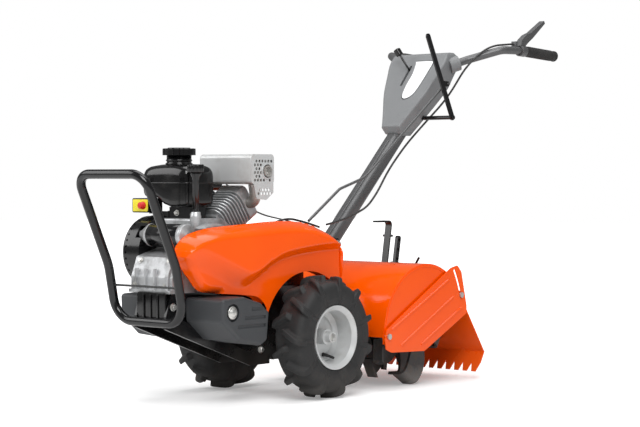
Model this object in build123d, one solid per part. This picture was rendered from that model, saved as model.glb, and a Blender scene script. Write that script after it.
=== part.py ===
from build123d import *
from functools import cache
import math
import os

# A pedestrian rear-tine rotavator: engine over two lugged wheels, tine rotor under a hood
# at the back, and a steering handle on one sloping column.
# Millimetres. Z is up from the ground, Y runs from the bumper (-) to the grips (+),
# +X is the machine's left, which carries the belt cover. While it is modelled, Y = 0 is the
# wheel axle. When it is written out, it is moved along Y so that the origin is in the middle.

# Clearances: a seated face, a running fit on a pin, and the air round what moves
SEAT = 0.2
FIT = 0.06
RUNNING_GAP = 5.0

# Wheels: a 13 x 5.00-6 lugged tyre on a dished rim
AXLE_Z = 165.0
WHEEL_X = 184.0
TYRE_R = 165.0
TYRE_HALF_W = 52.0
LUG_H = 15.0
LUG_T = 14.0
LUG_COUNT = 11
LUG_SWEEP = 33.0
LUG_SHOULDER = 18.0
TREAD_SIDES = 44
BEAD_R = 78.0
RIM_R = 86.0
RIM_HALF_W = 49.0
RIM_WALL = 3.0
DISH_X = -12.0
HUB_R = 21.0
HUB_SLEEVE_R = 14.5
HUB_STEP = 18.0
HUB_OUT = 36.0
AXLE_R = 11.0
AXLE_INSET = 7.0
AXLE_TUBE_R = 31.0
AXLE_TUBE_X = 112.0

# Transmission casting and the frame that carries the engine
BOX_HALF_X = 48.0
BOX_FRONT_Y = -74.0
BOX_REAR_Y = 105.0
BOX_BOTTOM_Z = 98.0
BOX_TOP_Z = 296.0
BOX_EDGE = 8.0
DRIVE_HALF_X = 30.0
DRIVE_Z = (148.0, 222.0)
DRIVE_END_Y = 340.8
TURRET_Y = (20.0, 90.0)
TURRET_HALF_X = 36.0
TURRET_TOP_Z = 330.0
RAIL_X = 50.0
RAIL_T = 8.0
RAIL_TAIL_Z = 90.0
RAIL_TAIL_Y = -150.0
BED_Z = 290.0
BED_T = 6.0
BED_OVERHANG = 1.5
BED_FRONT_Y = -448.0

# Bumper: one closed loop of tube that leans forward, with a thin rod across it
BUMPER_D = 24.0
BUMPER_HALF_X = 124.0
BUMPER_FOOT = (-465.0, 222.0)
BUMPER_KNEE = (-494.0, 366.0)
BUMPER_TOP = (-603.0, 602.0)
BUMPER_BEND = 46.0
BUMPER_FOOT_BEND = 58.0
BUMPER_KNEE_BEND = 150.0
CROSS_ROD_D = 6.0
CROSS_ROD_Z = 315.0

# Side boxes: dark moulded shells outboard of the rails, open towards them
WEIGHT_OUT_X = 190.0
WEIGHT_WALL = 6.0
WEIGHT_OUTLINE = [(-393.0, 285.0), (-312.0, 287.5), (-248.0, 269.0), (-217.0, 244.0),
                  (-225.0, 171.0), (-248.0, 158.0), (-331.0, 174.0), (-391.0, 226.0)]
WEIGHT_CORNER = 10.0
WEIGHT_EDGE = 9.0
WEIGHT_BOLT = (-356.0, 249.0)
WEIGHT_BOLT_R = 16.0
WEIGHT_WELL_R = 23.0
WEIGHT_WELL_DEPTH = 9.0
LOUVRE_START = (-286.0, 254.0)
LOUVRE_STEP = (-26.0, -21.5)
LOUVRE_COUNT = 3
LOUVRE_R = 5.0

# Engine: crankcase, finned cylinder, blower, starter, tank and exhaust
ENGINE_FOOT_Z = BED_Z + BED_T
CRANK_Y = -320.0
CRANK_Z = 396.0
CASE_X = (-92.0, 60.0)
CASE_FRONT = 124.0
CASE_REAR = 106.0
CASE_TOP = 190.0
CASE_EDGE = 6.0
SUMP_FLANGE = 9.0
COVER_R = 78.0
CYL_TILT = 34.0
CYL_FROM = 113.0
CYL_LEN = 100.0
CYL_X = -14.0
CYL_CORE = 74.0
FIN_SPAN = 100.0
FIN_CORNER = 27.0
FIN_T = 3.0
FIN_COUNT = 9
HEAD_LEN = 32.0
HEAD_SPAN = 94.0
BLOWER_X = (-158.0, -92.4)
BLOWER_STEP_X = -130.0
BLOWER_R = 97.0
BLOWER_WALL = 3.0
BLOWER_HOLE_R = 3.0
BLOWER_HOLES = 36
RECOIL_X = -176.0
RECOIL_R = 68.0
RECOIL_SLOTS = 12
STARTER_AT = (-387.0, 443.0)
STARTER_R = 30.5
STARTER_X = (-70.0, 60.0)
STARTER_NOSE = 42.0
TANK_X = (-157.0, 13.0)
TANK_Y = (-350.0, -232.0)
TANK_Z = (516.0, 628.0)
TANK_STEP_Z = 541.0
TANK_SEAM_Z = 579.0
TANK_LIP = 5.0
TANK_EDGE = 16.0
TANK_WALL = 3.0
CAP_AT = (-72.0, -288.0)
CAP_R = 44.0
CAP_H = 18.0
CAP_LOBES = 10
NECK_R = 33.0
NECK_H = 24.0
FILLER_AT = (48.0, -347.0)
FILLER_Z = (490.0, 606.0)
FILLER_R = 9.0
FILLER_CAP_R = 22.0
FILLER_CAP_H = 22.0
FILLER_TEETH = 14
GUARD_X = (-97.0, 96.0)
GUARD_Y = (-186.0, -98.0)
GUARD_Z = (575.0, 655.0)
GUARD_EDGE = 11.0
GUARD_WALL = 2.0
GUARD_HOLE_R = 4.6
GUARD_PITCH = 11.6
SKIRT_DROP = 42.0
OUTLET_R = 15.0
SILENCER_GAP = 7.0
ELBOW_R = 15.0
AIR_X = (-205.0, -116.0)
AIR_Y = (-190.0, -70.0)
AIR_Z = (556.2, 616.0)
AIR_EDGE = 12.0
SWITCH_X = (-176.0, -113.0)
SWITCH_Y = (-360.0, -310.0)
SWITCH_Z = (500.0, 538.0)
KEY_R = 8.0

# Belt cover on the left side: a pressed shell with a lens-shaped bulge
COVER_IN_X = 97.0
COVER_SKIRT_X = 137.0
COVER_OUT_X = 151.0
COVER_EDGE = 8.0
COVER_WALL = 3.0
COVER_TOP = [(-478.0, 396.0), (-462.0, 428.0), (-420.0, 452.0), (-330.0, 465.0), (-212.0, 471.0),
             (-94.0, 476.0), (0.0, 472.0), (76.0, 452.0), (151.0, 409.0)]
COVER_CREASE = [(60.0, 400.0), (-40.0, 394.0), (-124.0, 374.0), (-190.0, 336.0), (-235.0, 321.0), (-288.0, 328.0),
                (-396.0, 364.0)]
COVER_SKIRT = [(138.0, 394.0), (148.0, 300.0), (150.0, 240.0), (-157.0, 214.0), (-160.0, 250.0), (-196.0, 280.0),
               (-384.0, 298.0), (-424.0, 334.0), (-458.0, 370.0)]
COVER_BOLT = (-424.0, 350.0)
TYRE_GAP = 9.0

# Tine rotor and its hood
ROTOR_Y = 395.0
ROTOR_Z = 150.0
TINE_R = 149.0
TINE_T = 8.0
TINE_FOOT = 42.0
TINE_BEND = 127.0
TINE_BEND_R = 14.0
TINE_PHASE = 13.0
TINES_PER_FLANGE = 4
FLANGE_R = 55.0
FLANGE_T = 8.0
FLANGE_X = (60.0, 125.0, 190.0)
ROTOR_SHAFT_R = 16.0
ROTOR_TUBE_R = 25.0
ROTOR_HALF_X = 206.0
ROTOR_IN_X = 37.0
GEARCASE_HALF_X = 30.0
GEARCASE_R = 54.0
HOOD_R = 188.0
HOOD_RISE = 10.0
HOOD_HALF_X = 230.0
HOOD_WALL = 2.5
HOOD_REAR_ANGLE = 22.0
HOOD_FRONT_ANGLE = 183.0
HOOD_BEAD = 5.0
HOOD_CENTRE = (ROTOR_Y, ROTOR_Z + HOOD_RISE)

# Levelling shield, hung on the hood's sides
SHIELD_T = 3.0
SHIELD_PIVOT = (216.0, 153.0)
PIVOT_BOSS_R = 15.0
SHIELD_FOOT = [(200.0, 146.0), (206.0, 118.0), (229.0, 108.0), (379.0, 102.0)]
SHIELD_HEEL = (208.0, 172.0)
SLOT_R = 348.5
SLOT_FROM = 15.5
SLOT_TO = 29.3
SLOT_W = 9.0
SLOT_BOSS_R = 13.0
SHIELD_RIM = 20.0
SHIELD_RIBS = [((229.0, 171.0), (494.0, 299.0)), ((270.0, 124.0), (516.0, 249.0)), ((362.0, 121.0), (555.0, 216.0))]
RIB_W = 7.0
RIB_H = 2.2
BOLT_R = 4.0
BOLT_HEAD_R = 8.0
BOLT_HEAD_H = 5.0
PIVOT_FIT = 0.08
BOARD_LOW = (673.0, 78.0)
BOARD_TIP = (640.0, 21.0)
TOOTH_COUNT = 15
TOOTH_H = 26.0

# Depth stake behind the hood, its lever and its locking pin
STAKE_LEAN = 10.0
STAKE_X = -24.0
STAKE_TOP = (590.0, 417.0)
STAKE_LEN = 404.0
STAKE_W = 16.0
STAKE_T = 10.0
STAKE_HOLES = 5
STAKE_HOLE_R = 4.5
STAKE_HOLE_PITCH = 29.0
SLEEVE_WALL = 4.0
SLEEVE_GAP = 0.5
SLEEVE_TOP = 80.0
LEVER_X = -50.0
LEVER_W = 22.0
LEVER_T = 5.0
LEVER_FOOT_ANGLE = 36.0
LEVER_RISE = 190.0
LEVER_LEAN = 31.0
LEVER_HANDLE = 64.0
LOCK_PIN_R = 3.5

# Handle column, hinged on the bracket behind the engine
COLUMN_SLOPE = 45.0
HINGE_Y = 236.0
HINGE_Z = 402.0
COLUMN_W = 46.0
COLUMN_D = 40.0
COLUMN_LEN = 560.0
COLUMN_EDGE = 14.0
HINGE_R = 9.0
EAR_GAP = 1.0
EAR_T = 7.0

# Console, handlebars and controls
CONSOLE_FACE = [(520.0, 744.0), (664.0, 960.0)]
CONSOLE_BACK = [(684.0, 966.0), (704.0, 966.0), (716.0, 948.0), (712.0, 915.0), (690.0, 860.0), (650.0, 800.0),
                (612.0, 748.0), (584.0, 716.0), (560.0, 712.0), (532.0, 722.0)]
CONSOLE_HALF = [(26.0, 716.0), (38.0, 748.0), (62.0, 800.0), (84.0, 850.0), (98.0, 900.0), (106.0, 936.0),
                (101.0, 960.0), (70.0, 968.0)]
CONSOLE_EDGE = 6.0
CONSOLE_BOSS_R = 23.0
CONSOLE_BOSS_X = 122.0
SHIFT_SLOT = ((-25.0, 148.0), (-16.0, 222.0))
SHIFT_SLOT_W = 9.0
SHIFT_SLOT_DEPTH = 34.0
BAR_D = 24.0
BAR_POINTS = [(96.0, 684.0, 926.0), (132.0, 728.0, 945.0), (212.0, 790.0, 974.0), (237.0, 850.0, 974.0),
              (237.0, 1026.0, 965.5)]
BAR_BENDS = [30.0, 50.0, 60.0]
GRIP_D = 33.0
GRIP_LEN = 150.0
CLAMP_Y = 846.0
CLAMP_R = 17.0
LEVER_BLADE_X = (228.0, 246.0)
CONTROL_TOP = (501.0, 1001.0)
CONTROL_LOW = (618.0, 769.0)
CONTROL_X = (153.0, 158.0)
CONTROL_W = 17.0
CROSS_SHAFT_R = 6.0
ROD_D = 8.0
ROD_POINTS = [(147.0, 595.0, 867.0), (50.0, 340.0, 592.0), (46.0, 234.0, 560.0), (46.0, 100.0, 472.0)]
ROD_BENDS = [60.0, 40.0]
CLUTCH_CABLE_D = 6.0
CLUTCH_CABLE = [(218.0, 839.7, 994.0), (186.0, 762.0, 986.0), (150.0, 700.0, 928.0), (84.0, 690.0, 830.0),
                (40.0, 632.0, 752.0), (28.5, 560.0, 690.0), (28.5, 478.0, 616.0), (38.0, 412.0, 548.0),
                (52.0, 350.0, 508.0), (68.0, 262.0, 484.0), (78.0, 190.0, 470.0), (84.0, 132.0, 462.0)]
CLUTCH_TAIL = [(88.0, 96.0, 456.0), (88.0, 40.0, 470.0), (70.0, -20.0, 484.0), (30.0, -70.0, 456.0),
               (4.0, -120.0, 404.0), (-6.0, -170.0, 372.0), (-10.0, -213.7, 366.0)]
THROTTLE_CABLE_D = 4.0
THROTTLE_CABLE = [(-130.0, -69.7, 588.0), (-118.0, -38.0, 562.0), (-50.0, -34.0, 506.0), (4.0, -28.0, 487.0),
                  (56.0, 12.0, 474.0), (93.0, 60.0, 448.0)]


# Outlines are (y, z) pairs seen from the left side, drawn out along X
def side_plate(points, x0, x1, radius=0.0):
    flat = make_face(Polyline(*points, close=True))
    if radius > 0:
        flat = fillet(flat.vertices(), radius)
    return extrude(Plane.YZ.offset(x0) * flat, amount=x1 - x0)


def rod_x(y, z, radius, x0, x1):
    return Plane.YZ.offset(x0) * Pos(y, z, 0) * extrude(Circle(radius), amount=x1 - x0)


def block(x, y, z):
    centre = ((x[0] + x[1]) / 2, (y[0] + y[1]) / 2, (z[0] + z[1]) / 2)
    return Pos(*centre) * Box(x[1] - x[0], y[1] - y[0], z[1] - z[0])


def tube_along(points, radii, diameter):
    path = FilletPolyline(*points, radius=radii)
    start = Plane(origin=path @ 0, z_dir=path % 0)
    return sweep(start * Circle(diameter / 2), path=path)


def mirrored(shape):
    return mirror(shape, about=Plane.YZ)


def both_sides(shape):
    return shape + mirrored(shape)


def at_angle(centre, radius, degrees):
    turn = math.radians(degrees)
    return (centre[0] + radius * math.cos(turn), centre[1] + radius * math.sin(turn))


def shifted(point, along, across=0.0):
    return (point[0] + along, point[1] + across)


def widest_radii(points):
    # For each corner of a run, the largest arc its two sides allow.
    corners = [Vector(*p) for p in points]
    radii = []
    for before, at, after in zip(corners, corners[1:], corners[2:]):
        turn = math.radians((at - before).get_angle(after - at))
        shorter = min((at - before).length, (after - at).length)
        radii.append(0.45 * shorter / math.tan(turn / 2))
    return radii


# Wheels
def tread_ring():
    # A ring of flat sectors, so that the lugs meet flat faces.
    carcass = TYRE_R - LUG_H
    w = TYRE_HALF_W
    seat = RIM_HALF_W - 9 - SEAT
    half = [(BEAD_R, seat), (RIM_R + 0.6, seat + 4), (RIM_R + 12, w), (carcass - 20, w), (carcass - 5, w - 12),
            (carcass, 0)]
    profile = half + [(r, -x) for r, x in reversed(half[:-1])]
    section = make_face(Polyline(*[(x, r) for r, x in profile], close=True))
    step = 360 / TREAD_SIDES
    sector = loft([Rot(X=90) * Rot(X=step * side) * section for side in (-0.5, 0.5)], ruled=True)
    return [Rot(X=step * i) * sector for i in range(TREAD_SIDES)]


def lug():
    # One bar from the crown's middle to the shoulder, bent down over the shoulder.
    w = TYRE_HALF_W
    half = LUG_SWEEP / 2
    low = TYRE_R - LUG_H - 7
    bar = [(-4, -half), (-4, LUG_T - half), (w + 1, half + LUG_T), (w + 1, half)]
    plan = Pos(0, -LUG_T / 2, low - 30) * extrude(make_face(Polyline(*bar, close=True)), amount=TYRE_R)
    rise = [(-4, low), (-4, TYRE_R), (w - 14, TYRE_R), (w + 1, TYRE_R - LUG_SHOULDER),
            (w + 1, TYRE_R - LUG_SHOULDER - 22), (w - 9, low)]
    front = extrude(Plane.XZ * make_face(Polyline(*rise, close=True)), amount=TYRE_R, both=True)
    return plan & front


@cache
def left_tyre():
    left = lug()
    right = mirrored(left)
    step = 360 / LUG_COUNT
    lugs = [Rot(X=step * i) * left for i in range(LUG_COUNT)]
    lugs += [Rot(X=step * (i + 0.5)) * right for i in range(LUG_COUNT)]
    sectors = tread_ring()
    return Pos(WHEEL_X, 0, AXLE_Z) * (sectors[0] + (sectors[1:] + lugs))


def tyre(side):
    return left_tyre() if side > 0 else mirrored(left_tyre())


def rim(side):
    w = RIM_HALF_W
    t = RIM_WALL
    well = BEAD_R - 2 - t
    profile = [(-w, RIM_R), (-w, RIM_R - t), (-w + 9, well), (-22, well), (-18, BEAD_R - 16),
               (DISH_X - t, BEAD_R - 26), (DISH_X - t, 0), (HUB_OUT, 0), (HUB_OUT, HUB_SLEEVE_R),
               (HUB_STEP, HUB_SLEEVE_R), (HUB_STEP, HUB_R), (DISH_X, HUB_R), (DISH_X, BEAD_R - 28),
               (-14, BEAD_R - 20), (-8, BEAD_R - 6), (w - 9, well), (w, RIM_R - t), (w, RIM_R), (w - 5, RIM_R),
               (w - 9, BEAD_R - 0.3), (-w + 9, BEAD_R - 0.3), (-w + 5, RIM_R)]
    dish = revolve(Plane.XY * make_face(Polyline(*profile, close=True)), Axis.X)
    dish -= rod_x(0, 0, AXLE_R + FIT, -w, w)
    if side < 0:
        dish = mirrored(dish)
    return Pos(side * WHEEL_X, 0, AXLE_Z) * dish


def axle():
    half = WHEEL_X + HUB_OUT - AXLE_INSET
    return rod_x(0, AXLE_Z, AXLE_R, -half, half)


# Transmission, frame and bumper
def transmission():
    outline = [(BOX_FRONT_Y, BOX_BOTTOM_Z + 20), (BOX_FRONT_Y, BOX_TOP_Z - 30), (BOX_FRONT_Y + 25, BOX_TOP_Z),
               (BOX_REAR_Y - 30, BOX_TOP_Z), (BOX_REAR_Y, BOX_TOP_Z - 40), (BOX_REAR_Y, BOX_BOTTOM_Z + 32),
               (BOX_REAR_Y - 45, BOX_BOTTOM_Z), (BOX_FRONT_Y + 20, BOX_BOTTOM_Z)]
    case = side_plate(outline, -BOX_HALF_X, BOX_HALF_X, BOX_EDGE)
    case += rod_x(0, AXLE_Z, AXLE_TUBE_R, -AXLE_TUBE_X, AXLE_TUBE_X)
    case += block((-DRIVE_HALF_X, DRIVE_HALF_X), (BOX_REAR_Y - 5, DRIVE_END_Y), DRIVE_Z)
    case += block((-TURRET_HALF_X, TURRET_HALF_X), TURRET_Y, (BOX_TOP_Z - 5, TURRET_TOP_Z))
    case += both_sides(rod_x(0, AXLE_Z, AXLE_TUBE_R + 14, BOX_HALF_X - 1, BOX_HALF_X + 6))
    return case - rod_x(0, AXLE_Z, AXLE_R + SEAT, -AXLE_TUBE_X, AXLE_TUBE_X)


def engine_frame():
    front = BUMPER_FOOT[0]
    seat = BUMPER_FOOT[1]
    tail = [(front, seat - 16), (front, seat + 16), (front + 17, BED_Z), (BOX_FRONT_Y, BED_Z),
            (BOX_FRONT_Y, RAIL_TAIL_Z), (RAIL_TAIL_Y, RAIL_TAIL_Z)]
    window = [(front + 45, seat + 10), (front + 60, BED_Z - 28), (RAIL_TAIL_Y, BED_Z - 28),
              (RAIL_TAIL_Y + 30, BED_Z - 50), (RAIL_TAIL_Y + 30, RAIL_TAIL_Z + 50), (RAIL_TAIL_Y - 10, RAIL_TAIL_Z + 38)]
    rail = side_plate(tail, RAIL_X, RAIL_X + RAIL_T) - side_plate(window, RAIL_X, RAIL_X + RAIL_T, 12)
    frame = both_sides(rail)
    half = RAIL_X + RAIL_T + BED_OVERHANG
    frame += block((-half, half), (BED_FRONT_Y, BOX_FRONT_Y), (BED_Z, BED_Z + BED_T))
    frame += block((-RAIL_X, RAIL_X), (BOX_FRONT_Y - 8, BOX_FRONT_Y), (RAIL_TAIL_Z, BED_Z))
    return frame - rod_x(*BUMPER_FOOT, BUMPER_D / 2 + SEAT, -BUMPER_HALF_X, BUMPER_HALF_X)


def bumper():
    x = BUMPER_HALF_X
    points = [(0, *BUMPER_FOOT), (x, *BUMPER_FOOT), (x, *BUMPER_KNEE), (x, *BUMPER_TOP), (0, *BUMPER_TOP)]
    loop = both_sides(tube_along(points, [BUMPER_FOOT_BEND, BUMPER_KNEE_BEND, BUMPER_BEND], BUMPER_D))
    lean = (BUMPER_KNEE[0] - BUMPER_FOOT[0]) / (BUMPER_KNEE[1] - BUMPER_FOOT[1])
    rod_y = BUMPER_FOOT[0] + lean * (CROSS_ROD_Z - BUMPER_FOOT[1])
    return loop + rod_x(rod_y, CROSS_ROD_Z, CROSS_ROD_D / 2, -x, x)


def weight_box(side):
    inner = RAIL_X + RAIL_T + SEAT
    outline = make_face(Polyline(*WEIGHT_OUTLINE, close=True))
    outline = fillet(outline.vertices(), WEIGHT_CORNER)
    body = extrude(Plane.YZ.offset(inner) * outline, amount=WEIGHT_OUT_X - inner)
    body = fillet(body.faces().sort_by(Axis.X)[-1].edges(), WEIGHT_EDGE)
    depth = WEIGHT_OUT_X - WEIGHT_WALL - inner
    cavity = extrude(Plane.YZ.offset(inner) * offset(outline, amount=-WEIGHT_WALL), amount=depth)
    body -= cavity - rod_x(*WEIGHT_BOLT, WEIGHT_WELL_R + WEIGHT_WALL, inner, WEIGHT_OUT_X)
    floor = WEIGHT_OUT_X - WEIGHT_WELL_DEPTH
    body -= rod_x(*WEIGHT_BOLT, WEIGHT_WELL_R, floor, WEIGHT_OUT_X + 1)
    body += rod_x(*WEIGHT_BOLT, WEIGHT_BOLT_R, floor - 1, WEIGHT_OUT_X - 2)
    for i in range(LOUVRE_COUNT):
        at = shifted(LOUVRE_START, LOUVRE_STEP[0] * i, LOUVRE_STEP[1] * i)
        length = WEIGHT_OUTLINE[3][0] - WEIGHT_EDGE - 8 - at[0]
        groove = Pos(WEIGHT_OUT_X + 1.5, at[0] + length / 2, at[1]) * Rot(X=90) * Cylinder(LOUVRE_R, length)
        body -= groove
    return body if side > 0 else mirrored(body)


# Engine
def cylinder_frame(distance):
    turn = math.radians(CYL_TILT)
    y = CRANK_Y + distance * math.cos(turn)
    z = CRANK_Z + distance * math.sin(turn)
    return Plane(origin=(CYL_X, y, z), x_dir=(1, 0, 0), z_dir=(0, math.cos(turn), math.sin(turn)))


def crankcase():
    foot = ENGINE_FOOT_Z
    front = CRANK_Y - CASE_FRONT
    rear = CRANK_Y + CASE_REAR
    outline = [(front, foot), (front, foot + 40), (front + 20, foot + 92), (front + 92, foot + 112),
               (front + 94, foot + CASE_TOP), (rear - 48, foot + CASE_TOP), (rear, foot + CASE_TOP - 30), (rear, foot)]
    case = side_plate(outline, *CASE_X, CASE_EDGE)
    flange = side_plate([shifted(p, -4 if p[0] < CRANK_Y else 4, 4 if p[1] > foot else 0) for p in outline],
                        CASE_X[1] - 24, CASE_X[1] - 12, CASE_EDGE)
    case += flange - block((-200, 200), (front - 20, rear + 20), (foot + CASE_TOP, foot + CASE_TOP + 20))
    case += block(CASE_X, (front - SUMP_FLANGE, rear + SUMP_FLANGE), (foot, foot + SUMP_FLANGE))
    for x in range(3):
        rib_x = CASE_X[0] + 22 + 34 * x
        case += block((rib_x - 2.5, rib_x + 2.5), (front - 6, front + 4), (foot + SUMP_FLANGE, foot + 62))
    case += rod_x(CRANK_Y, CRANK_Z, COVER_R, CASE_X[1] - 1, COVER_IN_X - SEAT)
    boss = Pos(*FILLER_AT, (CRANK_Z + FILLER_Z[0]) / 2)
    case += boss * Cylinder(FILLER_R + 5.5, FILLER_Z[0] - CRANK_Z)
    case -= rod_x(*STARTER_AT, STARTER_R + SEAT, STARTER_X[0] - STARTER_NOSE - 60, COVER_IN_X)
    case -= cylinder_frame(CYL_FROM - SEAT) * Pos(0, 0, 100) * Box(300, 300, 200)
    return case


def cylinder():
    core = cylinder_frame(CYL_FROM) * Pos(0, 0, CYL_LEN / 2) * Box(CYL_CORE, CYL_CORE, CYL_LEN)
    pitch = (CYL_LEN - FIN_T) / FIN_COUNT
    fin = extrude(RectangleRounded(FIN_SPAN, FIN_SPAN, FIN_CORNER), amount=FIN_T)
    for i in range(1, FIN_COUNT + 1):
        core += cylinder_frame(CYL_FROM + pitch * i) * fin
    return core + cylinder_frame(CYL_FROM + CYL_LEN - 0.5) * head_block()


def head_block(room=0.0):
    size = HEAD_SPAN + 2 * room
    return extrude(RectangleRounded(size, size, 14 + room), amount=HEAD_LEN + room)


def blower_shroud(x0, x1, inset=0.0):
    # The duct that leads the blower's air from the top of its drum to the cylinder.
    duct = [(CRANK_Y, CRANK_Z + BLOWER_R - inset), (CRANK_Y + 98, 514 - inset), (CRANK_Y + 145, 556 - inset),
            (CRANK_Y + 186, 556 - inset), (CRANK_Y + 228 - inset, 520), (CRANK_Y + 240 - inset, 450 + inset), (CRANK_Y, CRANK_Z - 60)]
    return side_plate(duct, x0, x1)


def fan_housing():
    inner, outer = BLOWER_X[1], BLOWER_X[0]
    wall = BLOWER_WALL
    shell = rod_x(CRANK_Y, CRANK_Z, BLOWER_R, BLOWER_STEP_X, inner) + blower_shroud(BLOWER_STEP_X, inner)
    shell += rod_x(CRANK_Y, CRANK_Z, BLOWER_R - 2.5, outer, BLOWER_STEP_X)
    shell = fillet(shell.faces().sort_by(Axis.X)[0].edges(), 5)
    shell += rod_x(CRANK_Y, CRANK_Z, RECOIL_R, RECOIL_X, outer + 1)
    shell = fillet(shell.faces().sort_by(Axis.X)[0].edges(), 6)
    shell -= rod_x(CRANK_Y, CRANK_Z, BLOWER_R - 2.5 - wall, outer + wall, inner - wall)
    shell -= blower_shroud(BLOWER_STEP_X + wall, inner - wall, wall)
    shell -= rod_x(*STARTER_AT, STARTER_R * 0.75, STARTER_X[0] - STARTER_NOSE - 2, inner + 1)
    hole = Pos(0, 0, BLOWER_R) * Cylinder(BLOWER_HOLE_R, 20)
    centre = Pos((outer + BLOWER_STEP_X) / 2 - 1, CRANK_Y, CRANK_Z)
    shell -= [centre * Rot(X=360 / BLOWER_HOLES * i) * hole for i in range(BLOWER_HOLES)]
    slot = Pos(RECOIL_X, 0, RECOIL_R - 24) * Rot(Y=90) * extrude(SlotOverall(26, 7), amount=26)
    spot = Pos(0, CRANK_Y, CRANK_Z)
    shell -= [spot * Rot(X=360 / RECOIL_SLOTS * i) * slot for i in range(RECOIL_SLOTS)]
    return shell


def tank_shell(inset):
    x0, x1 = TANK_X[0] + inset, TANK_X[1] - inset
    low, high = TANK_Z[0] + inset, TANK_Z[1] - inset
    step = TANK_STEP_Z + inset
    roof = Spline((x0, high - 24), (x0 + 47, high - 2), ((x0 + x1) / 2 + 10, high + 4), (x1, high - 14),
                  tangents=((0.5, 1), (0.6, -1)))
    base = Polyline((x1, high - 14), (x1, low), (TANK_X[0] + 97, low), (TANK_X[0] + 57, step), (x0, step),
                    (x0, high - 24))
    section = Plane.XZ.offset(-TANK_Y[0] - inset) * make_face([*roof.edges(), *base.edges()])
    body = extrude(section, amount=-(TANK_Y[1] - TANK_Y[0] - 2 * inset))
    ends = body.edges().filter_by(GeomType.LINE).filter_by(Axis.Z)
    return fillet(ends, TANK_EDGE - inset)


def fuel_tank():
    tank = tank_shell(0.0)
    width = TANK_X[1] - TANK_X[0] + 2 * TANK_LIP
    depth = TANK_Y[1] - TANK_Y[0] + 2 * TANK_LIP
    centre = Pos((TANK_X[0] + TANK_X[1]) / 2, (TANK_Y[0] + TANK_Y[1]) / 2, TANK_SEAM_Z)
    tank += centre * extrude(RectangleRounded(width, depth, TANK_EDGE + TANK_LIP), amount=1.5, both=True)
    neck = Pos(*CAP_AT, TANK_Z[1] - 8)
    tank += neck * extrude(Circle(NECK_R), amount=NECK_H + 8)
    tank += neck * Pos(0, 0, 13) * extrude(Circle(NECK_R + 3), amount=3)
    tank -= tank_shell(TANK_WALL)
    return tank - neck * Pos(0, 0, -8) * extrude(Circle(NECK_R - 5), amount=NECK_H + 20)


def tank_mount():
    low = ENGINE_FOOT_Z + CASE_TOP + SEAT
    plate = block((-68, 8), (CRANK_Y - 8, CRANK_Y + 50), (low, TANK_Z[0] - SEAT))
    strap = block((8, 24), (CRANK_Y - 8, CRANK_Y + 28), (low, low + 22))
    return plate + strap


def fuel_cap():
    foot = Pos(*CAP_AT, TANK_Z[1] + NECK_H + SEAT)
    knob = extrude(Circle(CAP_R), amount=CAP_H)
    for i in range(CAP_LOBES):
        at = at_angle((0, 0), CAP_R + 4, 360 / CAP_LOBES * i)
        knob -= Pos(*at, 0) * extrude(Circle(8), amount=CAP_H)
    knob = chamfer(knob.faces().sort_by(Axis.Z)[-1].edges(), 1.5)
    knob += extrude(Circle(NECK_R + 3), amount=-SEAT) + Pos(0, 0, CAP_H) * extrude(Circle(CAP_R - 14), amount=2)
    return foot * knob


def oil_filler():
    foot = Pos(*FILLER_AT, FILLER_Z[0] + SEAT)
    height = FILLER_Z[1] - FILLER_Z[0]
    profile = [(0, 0), (13, 0), (13, 7), (FILLER_R, 9), (FILLER_R, height - 18), (FILLER_CAP_R - 9, height - 4),
               (FILLER_CAP_R - 9, height), (0, height)]
    tube = foot * revolve(Plane.XZ * make_face(Polyline(*profile, close=True)), Axis.Z)
    cap = extrude(Circle(FILLER_CAP_R), amount=FILLER_CAP_H)
    for i in range(FILLER_TEETH):
        at = at_angle((0, 0), FILLER_CAP_R + 1, 360 / FILLER_TEETH * i)
        cap -= Pos(*at, 0) * extrude(Circle(2.4), amount=FILLER_CAP_H)
    return tube + Pos(*FILLER_AT, FILLER_Z[1] + SEAT - 0.01) * cap


def starter_motor():
    x0, x1 = STARTER_X
    r = STARTER_R
    nose = x0 - STARTER_NOSE
    profile = [(nose, 0), (nose, 11), (nose + 12, 15), (x0 - 6, r), (x0, r), (x0, r - 2), (x1 - 16, r - 2), (x1 - 16, r),
               (x1 - 2, r), (x1, r - 2), (x1, 0)]
    body = revolve(Plane.XY * make_face(Polyline(*profile, close=True)), Axis.X)
    return Pos(0, *STARTER_AT) * body


def switch_box():
    box = fillet(block(SWITCH_X, SWITCH_Y, SWITCH_Z).edges().filter_by(Axis.Y), 5)
    middle = (SWITCH_X[0] + SWITCH_X[1]) / 2 + 12
    key = Pos(middle, SWITCH_Y[0], (SWITCH_Z[0] + SWITCH_Z[1]) / 2) * Rot(X=90) * Cylinder(KEY_R, 16)
    low = ENGINE_FOOT_Z + CASE_TOP + SEAT
    y = (SWITCH_Y[1] - 20, SWITCH_Y[1] - 14)
    post = block((CASE_X[0] + 2, CASE_X[0] + 22), y, (low, SWITCH_Z[0]))
    arm = block((SWITCH_X[1] - 30, CASE_X[0] + 22), y, (SWITCH_Z[0] - 3, SWITCH_Z[0] + 4))
    return box + key + post + arm


def hex_holes(x, y, z, skip_at, skip_r):
    # Staggered hexagons through a sheet that faces +X, left out round the outlet.
    rows = int((z[1] - z[0]) / (GUARD_PITCH * 0.87))
    columns = int((y[1] - y[0]) / GUARD_PITCH)
    tool = Rot(Y=90) * extrude(RegularPolygon(GUARD_HOLE_R, 6), amount=12, both=True)
    holes = []
    for row in range(rows):
        for column in range(columns):
            at = (y[0] + GUARD_PITCH * (column + 0.5 + 0.5 * (row % 2)), z[0] + GUARD_PITCH * 0.87 * (row + 0.5))
            inside = at[0] < y[1] - GUARD_HOLE_R
            if inside and math.dist(at, skip_at) > skip_r:
                holes.append(Pos(x, *at) * tool)
    return holes


def outlet_at():
    return (GUARD_Y[0] + 61, GUARD_Z[0] + 35)


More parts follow.
